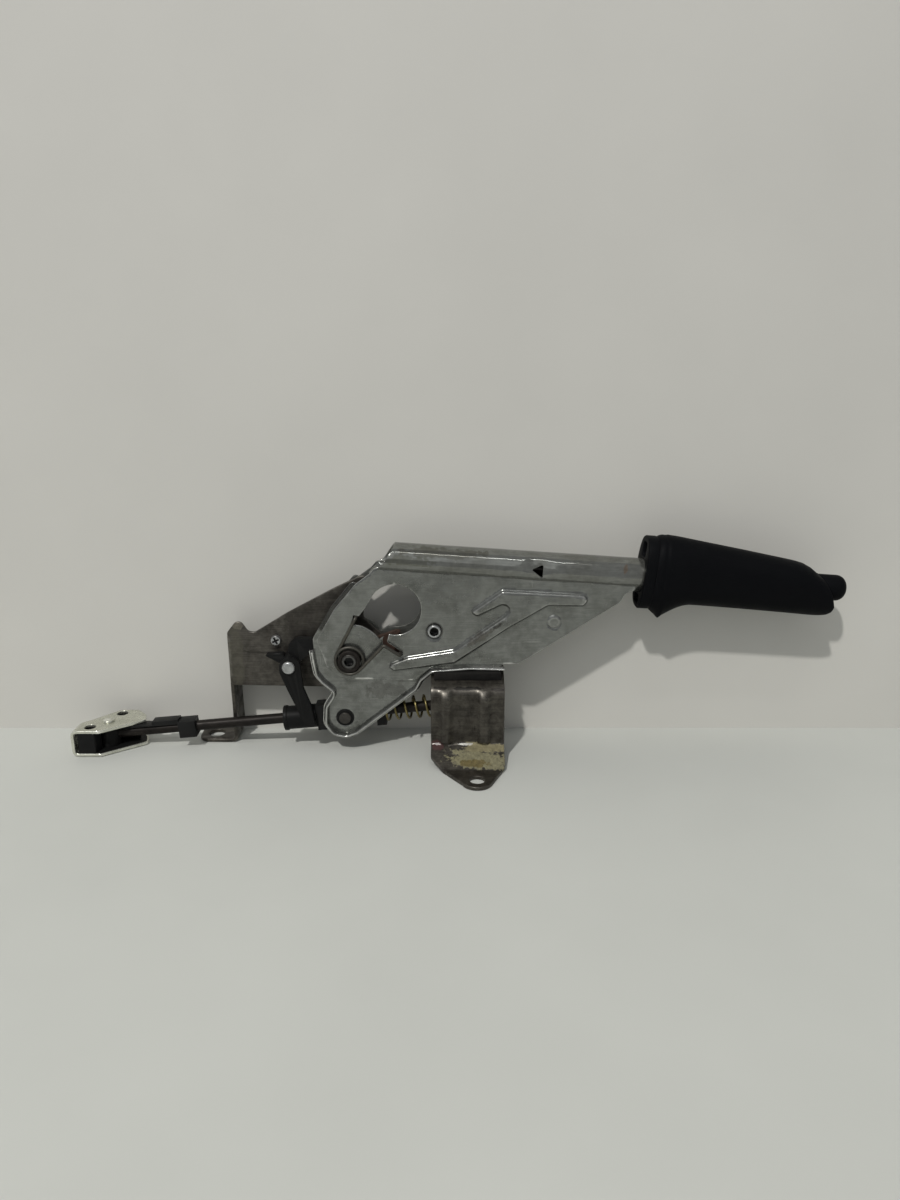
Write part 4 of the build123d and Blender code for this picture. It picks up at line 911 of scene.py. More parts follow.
def material(name):
    """A finish by name, made once; a name after a dot adds the marks of one piece."""
    label = "finish_" + name
    found = bpy.data.materials.get(label)
    if found:
        return found
    base = name.split(".")[0]
    group = "worn_metal" if base in METALS else "moulded"
    make_group, inputs, rows = GROUPS[group]
    if group not in bpy.data.node_groups:
        make_group(group)
    *values, metallic, bump, depth = rows[base]
    made = bpy.data.materials.new(label)
    made.use_nodes = True
    made.node_tree.nodes.clear()
    net = Net(made.node_tree)
    surface = net.add("ShaderNodeGroup", node_tree=bpy.data.node_groups[group], inputs={
        key: (*value, 1.0) if isinstance(value, tuple) else value for key, value in zip(inputs, values)})
    look = (*(surface.outputs[key] for key in ("Color", "Roughness", "Height")), metallic)
    if name in MARKS:
        where = net.place()
        for mark in MARKS[name]:
            look = add_mark(net, where, look, *mark)
    colour, rough, height, shine = look
    raised = net.add("ShaderNodeBump", inputs={
        "Strength": bump, "Distance": depth * MM, "Height": height})
    shader = net.add("ShaderNodeBsdfPrincipled", inputs={
        "Base Color": colour, "Roughness": rough, "Metallic": shine, "Normal": raised.outputs[0],
        "Specular IOR Level": SPECULAR.get(base, 0.5)})
    net.add("ShaderNodeOutputMaterial", inputs={"Surface": shader.outputs[0]})
    return made


# Marks on single pieces, in millimetres from the pivot: centre, half size, raggedness, noise scale,
# colour and strength, then turn about the depth axis in degrees, crust and whether it is square
MARKS = {
    "bare_steel.rear_foot": [
        ((90.0, -23.5, -56.6), (13.5, 4.6, 2.6), 0.35, 330.0, (0.21, 0.185, 0.10), 0.95, 4, 1.0, True),
        ((84.5, -33.5, -60.8), (18.0, 6.4, 3.5), 0.40, 300.0, (0.19, 0.175, 0.10), 0.95, 7, 1.0, True),
        ((81.0, -36.0, -62.0), (9.0, 4.0, 2.0), 0.55, 260.0, (0.115, 0.085, 0.025), 0.8, 3, 0.6),
        ((57.5, -22.0, -55.0), (4.4, 6.0, 3.0), 0.55, 420.0, (0.06, 0.014, 0.014), 0.75, 0, 0.3),
        # Two pale strips on the lower bend: painted highlights
        ((75.6, -22.5, -54.6), (4.8, 3.0, 0.8), 0.5, 500.0, (0.55, 0.54, 0.5), 0.8),
        ((57.2, -22.5, -54.4), (2.8, 3.0, 0.7), 0.5, 500.0, (0.5, 0.46, 0.44), 0.75),
        # Near-black strips on the top bend, under the lever's rim and between the beads: painted shade
        ((77.0, -19.0, -16.5), (9.5, 6.0, 0.9), 0.45, 300.0, (0.008, 0.007, 0.006), 0.85),
        ((59.0, -19.0, -16.3), (5.0, 6.0, 0.7), 0.45, 300.0, (0.01, 0.008, 0.007), 0.7),
        ((96.0, -19.0, -17.0), (5.0, 6.0, 0.8), 0.45, 300.0, (0.01, 0.008, 0.007), 0.7),
    ],
    "plate_steel.bracket_plate": [
        ((-77.5, 5.0, -4.0), (4.6, 5.0, 21.0), 0.45, 260.0, (0.09, 0.086, 0.058), 0.35, 0, 0.2),
        ((-75.0, 5.0, 18.0), (3.6, 5.0, 2.6), 0.4, 400.0, (0.22, 0.2, 0.16), 0.5),
        ((-59.0, 5.0, -1.0), (14.0, 5.0, 1.0), 0.4, 240.0, (0.02, 0.017, 0.014), 0.5, 4),
        ((-20.0, 5.0, 14.0), (30.0, 5.0, 26.0), 0.5, 130.0, (0.03, 0.026, 0.022), 0.35, 30),
    ],
    "zinc_tube.tube": [
        # A dark band along the tube's underside: painted shade
        ((105.0, -9.0, 51.4), (125.0, 8.0, 5.0), 0.12, 60.0, (0.085, 0.087, 0.078), 0.75, 4, 0.0, True),
        ((177.0, -9.0, 60.5), (1.2, 5.0, 3.0), 0.4, 420.0, (0.075, 0.04, 0.018), 0.7, 12, 0.4),
        ((60.0, -9.0, 71.0), (26.0, 7.0, 3.4), 0.6, 200.0, (0.075, 0.07, 0.05), 0.5, 4),
        ((40.0, -9.0, 66.0), (16.0, 7.0, 3.0), 0.6, 260.0, (0.09, 0.09, 0.06), 0.4, 4),
    ],
    "zinc_sheet.leg": [
        # A dark patch round the pawl rivet: painted shade in the pressed recess round it
        (RIVET_SPOT, (5.9, 3.0, 5.9), 0.04, 300.0, (0.02, 0.019, 0.017), 0.75),
        ((84.0, -11.5, 15.0), (9.0, 4.0, 2.6), 0.6, 300.0, (0.06, 0.045, 0.03), 0.4, -34),
        ((96.0, -11.5, 23.0), (3.4, 3.0, 1.0), 0.4, 500.0, (0.03, 0.026, 0.02), 0.6, -34),
    ],
    "zinc_sheet.ear": [
        ((22.0, -8.0, -22.5), (11.0, 4.0, 6.0), 0.9, 170.0, (0.085, 0.08, 0.074), 0.4),
        # A dark strip behind the boss slot: painted shade in the slot
        ((19.5, -8.0, -4.0), (4.5, 4.0, 11.0), 0.2, 200.0, (0.02, 0.02, 0.018), 0.8, 20),
        # Dark over the ear's upper arm, behind the front leg: painted shade between the sheets
        ((-8.0, -8.0, 38.0), (17.0, 3.0, 24.0), 0.1, 200.0, (0.035, 0.033, 0.03), 0.8),
    ],
    "dark_steel.pivot_pin": [
        ((0.0, -15.0, 0.0), (4.2, 5.0, 4.2), 0.03, 300.0, (0.09, 0.09, 0.085), 0.9),
        # A black centre on the pin: painted shade standing for its hollow
        ((0.0, -15.0, 0.0), (3.1, 9.0, 3.1), 0.02, 300.0, (0.006, 0.006, 0.006), 1.0),
    ],
    "bright_steel.pawl_rivet": [
        # A black centre on the rivet: painted shade in its hole
        (RIVET_SPOT, (3.0, 9.0, 3.0), 0.02, 300.0, (0.008, 0.008, 0.007), 1.0),
    ],
    "bright_steel.stop_screw": [
        # A dark cross on the screw's head: painted shade of its cross recess
        (SCREW_SPOT, (2.6, 3.2, 0.7), 0.1, 300.0, (0.01, 0.01, 0.01), 0.9, -25, 0.0, True),
        (SCREW_SPOT, (0.7, 3.2, 2.6), 0.1, 300.0, (0.01, 0.01, 0.01), 0.9, -25, 0.0, True),
    ],
}


# The pieces

def rib_relief(height):
    """Pressing of the front leg: the raised panel, a ring round the pivot and a weld dimple."""
    loop = rounded(RIB_OUTLINE, 4.0)

    def relief(p):
        depth = line_distance(p, loop + loop[:1]) * np.where(inside(p, [loop]), 1, -1)
        made = height * fade(depth, 0.0, RIB_SLOPE)
        made += 0.22 * (1 - fade(np.abs(away(p, (0, 0)) - 16.0), 0.2, 0.9))
        spot = away(p, WELD_AT)
        made += 0.35 * (1 - fade(spot, 3.6, 4.4)) - 0.3 * (1 - fade(np.abs(spot - 4.7), 0.1, 0.7))
        made -= 0.5 * (1 - fade(away(p, RIVET_AT), 5.6, 7.0))
        made += wave(p, 0.05, (0.31, 0.27), (1.0, 2.0))
        return made + wave(p, 0.15, (0.09, 0.13), (0.0, 0.7))
    return relief


def open_at(x, z):
    """Whether a place in the leg's plane lies in the large opening or its arc slot."""
    if math.hypot(x - OPENING_AT[0], z - OPENING_AT[1]) < OPENING_R:
        return True
    if ARC_IN < math.hypot(x, z) < ARC_OUT and ARC_FROM < math.degrees(math.atan2(z, x)) < ARC_TO:
        return True
    return bool(inside([(x, z)], [OPENING_SIDE])[0])


def opening_loop(rays=220, step=0.5):
    """Outline of the large opening and the arc slot that runs into it, found along rays."""
    loop = []
    for k in range(rays):
        turn = 2 * math.pi * k / rays

        def along(reach):
            return OPENING_EYE[0] + reach * math.cos(turn), OPENING_EYE[1] + reach * math.sin(turn)

        high = step
        while open_at(*along(high)):
            high += step
        low = high - step
        for _ in range(12):
            mid = (low + high) / 2
            low, high = (mid, high) if open_at(*along(mid)) else (low, mid)
        loop.append(along(low))
    return loop


def leg_loop():
    """Outline of one leg, closed along the tube's underside."""
    top = [(LEG_RIGHT, tube_axis(LEG_RIGHT) - 4.0), (TUBE_LEFT + 4, tube_axis(TUBE_LEFT) - 4.0)]
    return spread(rounded(LEG_OUTLINE + top, 5.0), 3.0)


def lever_tube():
    """The handle tube, slanting at its left end, with its lanced mark."""
    middle = TUBE_R - SHEET / 2
    around = 2 * math.pi * middle
    cut_z = (0.0, 56.0, 63.8, 76.5, 90.0)
    cut_x = (TUBE_LEFT, TUBE_LEFT, 22.7, 30.2, 34.0)
    seam = 0.05

    def left_end(v):
        up = -middle * math.cos(v / middle)
        s = TUBE_LEFT
        for _ in range(3):
            s = np.interp(TUBE_HEIGHT - s * TUBE_SIN + up * TUBE_COS, cut_z, cut_x) / TUBE_COS
        return s

    def wrap(u, v, h):
        turn = v / middle
        radius = middle + SHEET / 2 + h
        return on_tube(u, -radius * math.sin(turn), -radius * math.cos(turn))

    def shallow(p):
        dent = line_distance(p, [(118.0, 18.5), (124.5, 18.5)])
        return -0.5 * (1 - fade(dent, 3.0, 6.5)) + wave(p, 0.03, (0.4, 0.5), (0.0, math.pi / 2))

    right = TUBE_RIGHT / TUBE_COS
    left = [(left_end(v), v) for v in np.linspace(around - seam, seam, 48)]
    outline = spread(left + [(right, seam), (right, around - seam)], 4.0)
    side = around / 4
    mark = rounded([(117.5, side + 1.4), (124.6, side + 5.0), (124.8, side - 3.8)], 0.8, 4)
    tube = pressed_sheet(
        "lever_tube", outline, [mark], wrap, SHEET, "zinc_tube.tube", shallow, step=2.0)
    mount(tube, "lever", "zinc_sheet", "lever_body")


def lever_legs():
    """The two legs, the front one pressed with ribs and slotted round the pivot boss."""
    rivet = circle(RIVET_AT, RIVET_R + FIT)
    bush = circle((0, 0), BUSH_R + FIT)
    boss = offset_line(rounded(BOSS_SLOT, 3.0, 5, closed=False), 3.0)
    panel = spread(rounded(RIB_OUTLINE, 4.0), 1.2)
    rings = [inset(panel, width) for width in (0.0, 0.42, 0.84, 1.26, 1.68, RIB_SLOPE)]
    rings += [circle(WELD_AT, radius, 36) for radius in (3.6, 4.2, 4.7, 5.3)]
    height = bpy.context.scene.brake_lever_sizes.rib_height
    front = pressed_sheet(
        "lever_front_leg", leg_loop(), [joined([opening_loop(), boss]), rivet, bush],
        upright(-LEG_FACE), SHEET, "zinc_sheet.leg", rib_relief(height), step=1.5, creases=rings)
    # The rear leg takes the darker copy of the zinc, which is painted shade
    rear = pressed_sheet(
        "lever_rear_leg", leg_loop(), [opening_loop(), rivet, bush], upright(LEG_FACE - SHEET), SHEET,
        "zinc_painted_shade", step=9.0)
    for leg in (front, rear):
        mount(leg, "lever", "zinc_sheet", "lever_body")


def ear_plates():
    """The ear plates, and the rim that is turned out along the front one's lower edge."""
    loop = spread(rounded(EAR_OUTLINE, 6.0), 3.0)
    holes = [circle((0, 0), BUSH_R + FIT), circle(EAR_PIN, EAR_HOLE_R)]

    def pressed(p):
        crease = line_distance(p, [(-4.0, -16.5), (10.0, -19.5), (30.0, -19.0)])
        dents = wave(p, 0.35, (0.45, 0.5), (0.0, 1.0)) * (1 - fade(crease, 1.0, 9.0))
        return 0.4 * (1 - fade(np.abs(away(p, EAR_PIN) - 8.2), 0.4, 1.6)) + dents

    front = pressed_sheet(
        "ear_plate_front_pressed", loop, holes, upright(-EAR_FACE), SHEET, "zinc_sheet.ear", pressed,
        step=1.6)
    mount(front, "lever", "zinc_sheet", "ear_plate_front")
    path = rounded(EAR_OUTLINE[RIM_FROM:] + EAR_OUTLINE[:1], 6.0, 8, closed=False)
    top = bpy.context.scene.brake_lever_sizes.rim_height
    bend, crest, root = 0.9, 0.8, 1.5
    section = [(bend * (1 - math.cos(a)), -SHEET + bend * (1 - math.sin(a)))
               for a in np.radians((90, 60, 30, 0))]
    section += [(crest - crest * math.cos(a), top - crest + crest * math.sin(a))
                for a in np.radians(range(0, 181, 30))]
    section += [(2 * crest + root * (1 - math.cos(a)), root * (1 - math.sin(a)))
                for a in np.radians((0, 30, 60, 90))]
    section.append((2 * crest + root, -SHEET))
    rim = swept_band("ear_plate_rim", path, section, upright(-EAR_FACE), "zinc_sheet.ear")
    mount(rim, "lever", "zinc_sheet", "ear_plate_front")
    # The rear ear plate takes the darker copy of the zinc, which is painted shade
    rear = pressed_sheet(
        "ear_plate_rear_pressed", loop, holes, upright(LEG_FACE), SHEET, "zinc_painted_shade", step=9.0)
    mount(rear, "lever", "zinc_sheet", "ear_plate_rear")


def bracket_plate():
    """The bracket plate with its pressed dimples."""
    holes = [circle((0, 0), PIVOT_PIN_R + FIT), circle(HOOK_PIN, HOOK_PIN_R + FIT, 24),
             circle(SCREW_AT, SCREW_R + FIT, 24)]
    dimples = ((-63.1, -8.4, 2.2, 0.9), (-58.6, -8.8, 2.0, 0.8), (-77.4, -4.3, 3.4, -0.7))

    def pressed(p):
        made = wave(p, 0.12, (0.14, 0.17), (0.0, 1.0))
        for x, z, wide, rise in dimples:
            reach = np.linalg.norm((p - np.array((x, z))) * (1, 0.85), axis=1)
            made += rise * (1 - fade(reach, wide * 0.35, wide))
        return made

    plate = pressed_sheet(
        "bracket_plate_pressed", spread(rounded(PLATE_OUTLINE, 4.0), 4.0), holes, upright(PLATE_FACE),
        BRACKET_SHEET, "plate_steel.bracket_plate", pressed, step=2.0, edge=0.5)
    mount(plate, "bracket", "bare_steel", "bracket_plate")


def rear_foot():
    """The rear foot: a shelf, a beaded web and a rounded tab, bent from one sheet."""
    shelf, knee = -18.5, -56.0
    fold = Fold([(7.5, -5.0), (7.5, -7.6), (-20.0, shelf), (-20.0, knee), (-40.0, FOOT_LEVEL),
                 (-64.0, FOOT_LEVEL)], 4.5)
    web = fold.length_at(1, -50.0)

    def on_tab(points):
        return [(x, fold.length_at(0, y, web)) for x, y in points]

    end = [polar(10.0, a, REAR_HOLE_AT) for a in range(-158, -19, 12)]
    plan = [(FOOT_LEFT, -30.5)] + end + [(FOOT_RIGHT, -36.5)]
    outline = [(FOOT_RIGHT, 0.3), (FOOT_LEFT, 0.3)] + on_tab(plan)
    hole = on_tab(circle(REAR_HOLE_AT, REAR_HOLE_R, 36))
    top, bottom = fold.length_at(1, shelf), fold.length_at(1, knee, fold.length_at(1, -30.0))

    def beads(p):
        made = np.zeros(len(p))
        reach = fade(p[:, 1], top - 1.0, top + 5.0) * (1 - fade(p[:, 1], bottom - 3.0, bottom + 2.5))
        for x in (62.6, 87.6):
            made += 2.6 * (1 - fade(np.abs(p[:, 0] - x), 1.6, 5.2)) * reach
        return made + wave(p, 0.1, (0.3, 0.22))

    def place(u, v, h):
        y, z = fold.point(v, BRACKET_SHEET + h)
        return at(u, y, z)

    foot = pressed_sheet(
        "rear_foot_pressed", spread(rounded(outline, 3.0, 4), 2.0), [hole], place, BRACKET_SHEET,
        "bare_steel.rear_foot", beads, 1.5, 0.5)
    mount(foot, "bracket", "bare_steel", "rear_foot")


def front_foot():
    """The front foot: a flange bent into a level tab with a rounded end."""
    fold = Fold([(PLATE_LEFT, 14.0), (PLATE_LEFT, FOOT_LEVEL), (PLATE_LEFT - 28.0, FOOT_LEVEL)], 5.0)
    shoulder, end = fold.length_at(1, -8.0), fold.length - 0.3
    corner = 7.7
    far = [polar(corner, a, (20.0, end - corner)) for a in range(0, 91, 10)]
    near = [polar(corner, a, (13.0, end - corner)) for a in range(90, 181, 10)]
    outline = [(5.3, 1.2), (19.5, 1.2), (27.7, shoulder)] + far + near
    hole = circle((15.5, fold.length - 11.0), FRONT_HOLE_R, 36)

    def place(u, v, h):
        x, z = fold.point(v, BRACKET_SHEET + h)
        return at(x, u, z)

    foot = pressed_sheet(
        "front_foot_pressed", spread(rounded(outline, 3.0, 5), 2.5), [hole], place, BRACKET_SHEET,
        "bare_steel.front_foot", lambda p: wave(p, 0.12, (0.4, 0.2)), 2.0, 0.5)
    mount(foot, "bracket", "bare_steel", "front_foot")


def equaliser():
    """The equaliser's folded strap and the two thin liners inside it."""
    middle = EAR_PIN[1] + (EQ_X - EAR_PIN[0]) * math.tan(ROD_SLANT)
    top, bottom = middle + EQ_HEIGHT / 2, middle - EQ_HEIGHT / 2
    bend = EQ_X - 20
    fold = Fold([(EQ_RIGHT, top), (bend, top), (bend, bottom), (EQ_RIGHT, bottom)], 4.0)
    upper = [(EQ_RIGHT - x, y) for x, y in EQ_OUTLINE[1:]]
    lower = [(fold.length - t, y) for t, y in upper]
    upper, lower = (rounded(half, 3.0, 5, closed=False) for half in (upper, lower))
    holes = []
    for centre, radius in ((CABLE_NEAR, CABLE_HOLE_R), (CABLE_FAR, CABLE_HOLE_R),
                           ((EQ_X, EQ_Y), EQ_PIN_R + FIT)):
        t = EQ_RIGHT - centre[0]
        holes += [circle((t, centre[1]), radius, 32), circle((fold.length - t, centre[1]), radius, 32)]

    def place(u, v, h):
        x, z = fold.point(u, h)
        return at(x, v, z)

    strap = pressed_sheet(
        "equaliser_strap_folded", spread(upper + lower[::-1], 2.0), holes, place, EQ_SHEET,
        "yellow_zinc", lambda p: wave(p, 0.02, (0.5, 0.6)), step=1.6)
    mount(strap, "equaliser", "yellow_zinc", "equaliser_strap")
    # Two thin black sheets line the strap's inner faces: painted shade standing in for the dark inside the strap
    shade_liner_sheet = 0.24
    loop = [(max(x, bend + 2.4), y) for x, y in inset(rounded(EQ_OUTLINE, 3.0, 5), 0.9)]
    gaps = [circle(CABLE_NEAR, 4.2, 28), circle(CABLE_FAR, 4.2, 28), circle((EQ_X, EQ_Y), 3.4, 28)]
    for label, level in (("lower", bottom + EQ_SHEET + shade_liner_sheet), ("upper", top - EQ_SHEET)):
        shade_liner = pressed_sheet(
            "strap_shade_liner_" + label, loop, gaps, lambda u, v, h: at(u, v, level + h),
            shade_liner_sheet, "black_plastic", step=9.0, edge=0.08)
        mount(shade_liner, "equaliser", "black_plastic", "cable_inserts")


def tangent_angle(point, turn):
    """Angle on the return spring's coil at which an arm to a point leaves it."""
    ahead = math.degrees(math.acos(COIL_R / math.hypot(*point)))
    return math.degrees(math.atan2(point[1], point[0])) + turn * ahead


def spring_arm(name, body, corners):
    """One arm of the return spring."""
    path = rounded([at(*corner) for corner in corners], 2 * MM, 8, closed=False, share=0.45)
    mount(wire(name, path, WIRE_R, "spring_steel"), body, "dark_steel", "return_spring")


def return_spring():
    """The return spring's coil, which winds between two bodies, and its two arms."""
    first, last = tangent_angle(FIXED_ARM, 1), tangent_angle(LEVER_ARM, -1) + 720
    length = COIL_PITCH * WIRE_R * (last - first) / 360
    front = COIL_BACK - length
    coil = []
    for t in (k / 160 for k in range(161)):
        x, z = polar(COIL_R, first + (last - first) * t)
        coil.append(at(x, COIL_BACK - length * t, z))
    piece = wire("return_spring_coil", coil, WIRE_R, "spring_steel")
    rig.blend(piece, "bracket", "lever", at(0, COIL_BACK, 0), at(0, front, 0))
    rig.slot(piece, "dark_steel")
    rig.replaces(piece, "return_spring")
    start, end = polar(COIL_R, first), polar(COIL_R, last)
    spring_arm("return_spring_fixed_arm", "bracket", [
        (start[0], COIL_BACK, start[1]), (FIXED_ARM[0], COIL_BACK, FIXED_ARM[1]),
        (FIXED_ARM[0], 7.0, FIXED_ARM[1])])
    spring_arm("return_spring_lever_arm", "lever", [
        (end[0], front, end[1]), (LEVER_ARM[0], front, LEVER_ARM[1]),
        (LEVER_HOOK[0], front, LEVER_HOOK[1]), (LEVER_HOOK[0], -8.2, LEVER_HOOK[1])])


def compression_spring(name, point, start, end, radius, wire_r, turns, finish, bodies, node):
    """A compression spring with closed ends that shortens between two bodies."""
    points = []
    count = turns * 28
    closed = 1.2
    total = turns + closed
    for k in range(count + 1):
        turn = total * k / count
        free = min(max((turn - closed / 2) / (total - closed), 0.0), 1.0)
        s = start + wire_r + (end - start - 2 * wire_r) * free
        angle = 2 * math.pi * turn
        points.append(point(s, radius * math.cos(angle), radius * math.sin(angle)))
    spring = wire(name, points, wire_r, finish)
    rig.blend(spring, *bodies, point(start + 2 * wire_r, 0, 0), point(end - 2 * wire_r, 0, 0))
    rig.slot(spring, "dark_steel")
    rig.replaces(spring, node)


def springs():
    """The return spring with its two arms, the adjuster's spring and the button's spring."""
    return_spring()
    compression_spring("adjuster_spring_coil", on_rod, 27.02, 91.98, 7.2, 0.8, 9, "oily_spring",
                       ("trunnion", "rod"), "adjuster_spring")
    compression_spring("button_spring_coil", on_tube, BUTTON_SEAT, BUTTON_START, 5.5, 0.6, 9,
                       "spring_steel", ("lever", "button"), "button_spring")


def superellipse(up, down, half, power, count):
    """Points round a rounded section: (sideways, upwards)."""
    made = []
    for k in range(count):
        turn = 2 * math.pi * k / count
        c, s = math.cos(turn), math.sin(turn)
        side = half * math.copysign(abs(c) ** (2 / power), c)
        rise = math.copysign(abs(s) ** (2 / power), s)
        made.append((side, rise * (up if s > 0 else down)))
    return made


def grip():
    """The moulded grip: a soft sleeve with a finger lip and a slanting end, and its mouth's collar."""
    stations = np.array(GRIP_SECTIONS)
    where = np.unique(np.concatenate([
        np.linspace(GRIP_MOUTH, 205.0, 20), np.linspace(205.0, 296.0, 40),
        np.linspace(296.0, GRIP_END, 16)]))
    rows = np.array([[s] + [np.interp(s, stations[:, 0], stations[:, k]) for k in (1, 2, 3)]
                     for s in where])
    for _ in range(3):
        rows[1:-1, 1:] = (rows[:-2, 1:] + 2 * rows[1:-1, 1:] + rows[2:, 1:]) / 4
    heights, slants = zip(*GRIP_SLANT)

    def end_at(s, rise):
        lean = float(fade(np.array(s), 284.0, GRIP_END))
        mouth = float(1 - fade(np.array(s), GRIP_MOUTH, 214.0))
        return s + lean * float(np.interp(rise, heights, slants)) + mouth * rise * MOUTH_SLANT

    def ring(s, up, down, half, power=2.3, lip=0.0):
        made = []
        for side, rise in superellipse(up, down, half, power, GRIP_POINTS):
            if rise < 0:
                rise -= lip * max(0.0, -rise / down) ** 3
            made.append(on_tube(end_at(s, rise), side, rise))
        return made

    rings = []
    for s, up, down, half in rows:
        lip = 7.8 * max(0.0, 1 - abs(s - 203.4) / (8.0 if s < 203.4 else 17.0)) ** 1.5
        rings.append(ring(s, up, down, half, lip=lip))
    _, up, down, half = rows[-1]
    rings.append(ring(GRIP_END + 0.6, up * 0.9, down * 0.93, half * 0.9))
    left, right = GRIP_BORE
    for s, bore in ((GRIP_END + 0.7, BUTTON_BORE_R), (right, BUTTON_BORE_R), (right, GRIP_BORE_R),
                    (left, GRIP_BORE_R)):
        rings.append(ring(s, bore, bore, bore, 2.0))
    rings.append(ring(left, 21.0, 16.4, 12.4))
    rings.append(ring(GRIP_MOUTH, 22.4, 17.6, 12.8))
    sleeve = new_piece("grip_sleeve", [v for made in rings for v in made],
                       skin(len(rings), GRIP_POINTS, closed=True), "grip_plastic", 55.0)
    mount(sleeve, "lever", "grip_plastic", "grip")
    slot = rounded([(-4.2, 12.4), (4.2, 12.4), (4.6, 22.0), (-4.6, 22.0)], 2.4, 5)
    notch = rounded([(-5.0, -18.6), (5.0, -18.6), (5.0, -12.6), (-5.0, -12.6)], 1.5, 5)
    collar = pressed_sheet(
        "grip_collar", superellipse(25.9, 21.2, 15.2, 2.7, 96),
        [slot, notch, circle((0, 0), GRIP_BORE_R, 60)],
        lambda u, v, h: on_tube(188.7 - h + v * MOUTH_SLANT, u, v), 7.2, "grip_plastic",
        step=6.0, edge=0.9)
    mount(collar, "lever", "grip_plastic", "grip")


def push_button():
    """The release button: a domed cap on a barrel."""
    barrel = 8.4
    shoulder = BUTTON_END - 6.2
    profile = [(0.5, BUTTON_START), (barrel - 0.2, BUTTON_START), (barrel, BUTTON_START + 0.3),
               (barrel, shoulder)]
    profile += [(barrel - 5.6 * (1 - math.cos(a)), shoulder + 5.9 * math.sin(a))
                for a in np.radians(range(10, 90, 10))]
    profile += [(2.4, BUTTON_END - 0.08), (0.2, BUTTON_END)]
    button = turned(
        "push_button_cap", profile, lambda a, b, d: on_tube(d, a, b), "grip_plastic", 64)
    mount(button, "button", "grip_plastic", "push_button")


# CAD nodes that are copied with rounded edges: finish, and width of the rounding in millimetres
SOFTENED = {
    "pivot_pin": ("dark_steel.pivot_pin", 0.3), "spring_guide": ("rod_steel", 0.5),
    "pawl_rivet": ("bright_steel.pawl_rivet", 0.3), "hook_pin": ("bright_steel", 0.5),
    "stop_screw": ("bright_steel.stop_screw", 0.3), "trunnion": ("dark_steel", 0.4),
    "adjuster_housing": ("black_plastic", 0.5), "housing_flange": ("black_plastic", 0.5),
    "adjuster_seat": ("black_plastic", 0.5), "end_washer": ("dark_steel", 0.3),
    "end_nut": ("dark_steel", 0.4), "equaliser_pin": ("yellow_zinc", 0.4),
    "rod_retainer": ("black_plastic", 0.5), "hook_lever": ("black_plastic", 0.7),
    "cable_inserts": ("black_plastic", 0.6), "pivot_clip": ("dark_steel", 0.2),
    "stop_buffer": ("stop_rubber", 0.6), "pull_rod": ("rod_steel", 0.3), "pawl": ("dark_steel", 0.3),
    "trunnion_bushes": ("black_plastic", 0.3),
}
# CAD nodes that stay as they are, and their finish
CARRIED = {
    "ratchet_sector": "rusty_edge", "sector_rivets": "bright_steel", "pivot_spacer": "bright_steel",
    "lever_bushes": "black_plastic", "pawl_spacers": "bright_steel",
    "button_spring_seat": "black_plastic", "push_rod": "dark_steel",
}


def small_parts():
    """The small pieces: rounded copies of their CAD nodes, and CAD nodes with their finish."""
    record = frame["record"]
    body_of = {node: body for body, nodes in record["behaviour"]["bodies"].items() for node in nodes}
    slot_of = {part["node"]: part["material_slot"] for part in record["subparts"]}
    for node, (finish, width) in SOFTENED.items():
        mount(softened(node, finish, width), body_of[node], slot_of[node], node)
    for node, finish in CARRIED.items():
        mesh = frame["nodes"][node].data
        mesh.materials.clear()
        mesh.materials.append(material(finish))


# Stage

def plain_surface(name, colour):
    """A matt surface with a faint cloud in its colour, which is clear from behind."""
    made = bpy.data.materials.new(name)
    made.use_nodes = True
    made.node_tree.nodes.clear()
    net = Net(made.node_tree)
    cloud = net.grey(net.remap(net.noise(net.place(), 6.0, 3.0), 0.3, 0.7, 0.97, 1.03))
    tint = net.mix(1.0, (*colour, 1.0), cloud, "MULTIPLY")
    matt = net.add("ShaderNodeBsdfPrincipled", inputs={"Base Color": tint, "Roughness": 0.65})
    clear = net.add("ShaderNodeBsdfTransparent")
    back = net.add("ShaderNodeNewGeometry").outputs["Backfacing"]
    both = net.add("ShaderNodeMixShader", inputs={0: back, 1: matt.outputs[0], 2: clear.outputs[0]})
    net.add("ShaderNodeOutputMaterial", inputs={"Surface": both.outputs[0]})
    return made


def plane(name, corners, colour):
    """A stage plane; its front is the side from which the corners run counter-clockwise."""
    mesh = bpy.data.meshes.new(name)
    mesh.from_pydata(corners, [], [(0, 1, 2, 3)])
    mesh.materials.append(plain_surface(name, colour))
    made = linked(name, mesh)
    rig.stage(made)


def area_light(name, place, aim, size, power, colour=(1.0, 1.0, 1.0)):
    """A lamp of a width and height, aimed at a point."""
    lamp = bpy.data.lights.new(name, "AREA")
    lamp.shape = "RECTANGLE"
    lamp.size, lamp.size_y = size
    lamp.energy = power
    lamp.color = colour
    made = linked(name, lamp)
    made.location = place
    made.rotation_mode = "QUATERNION"
    made.rotation_quaternion = (Vector(aim) - Vector(place)).to_track_quat("-Z", "Y")


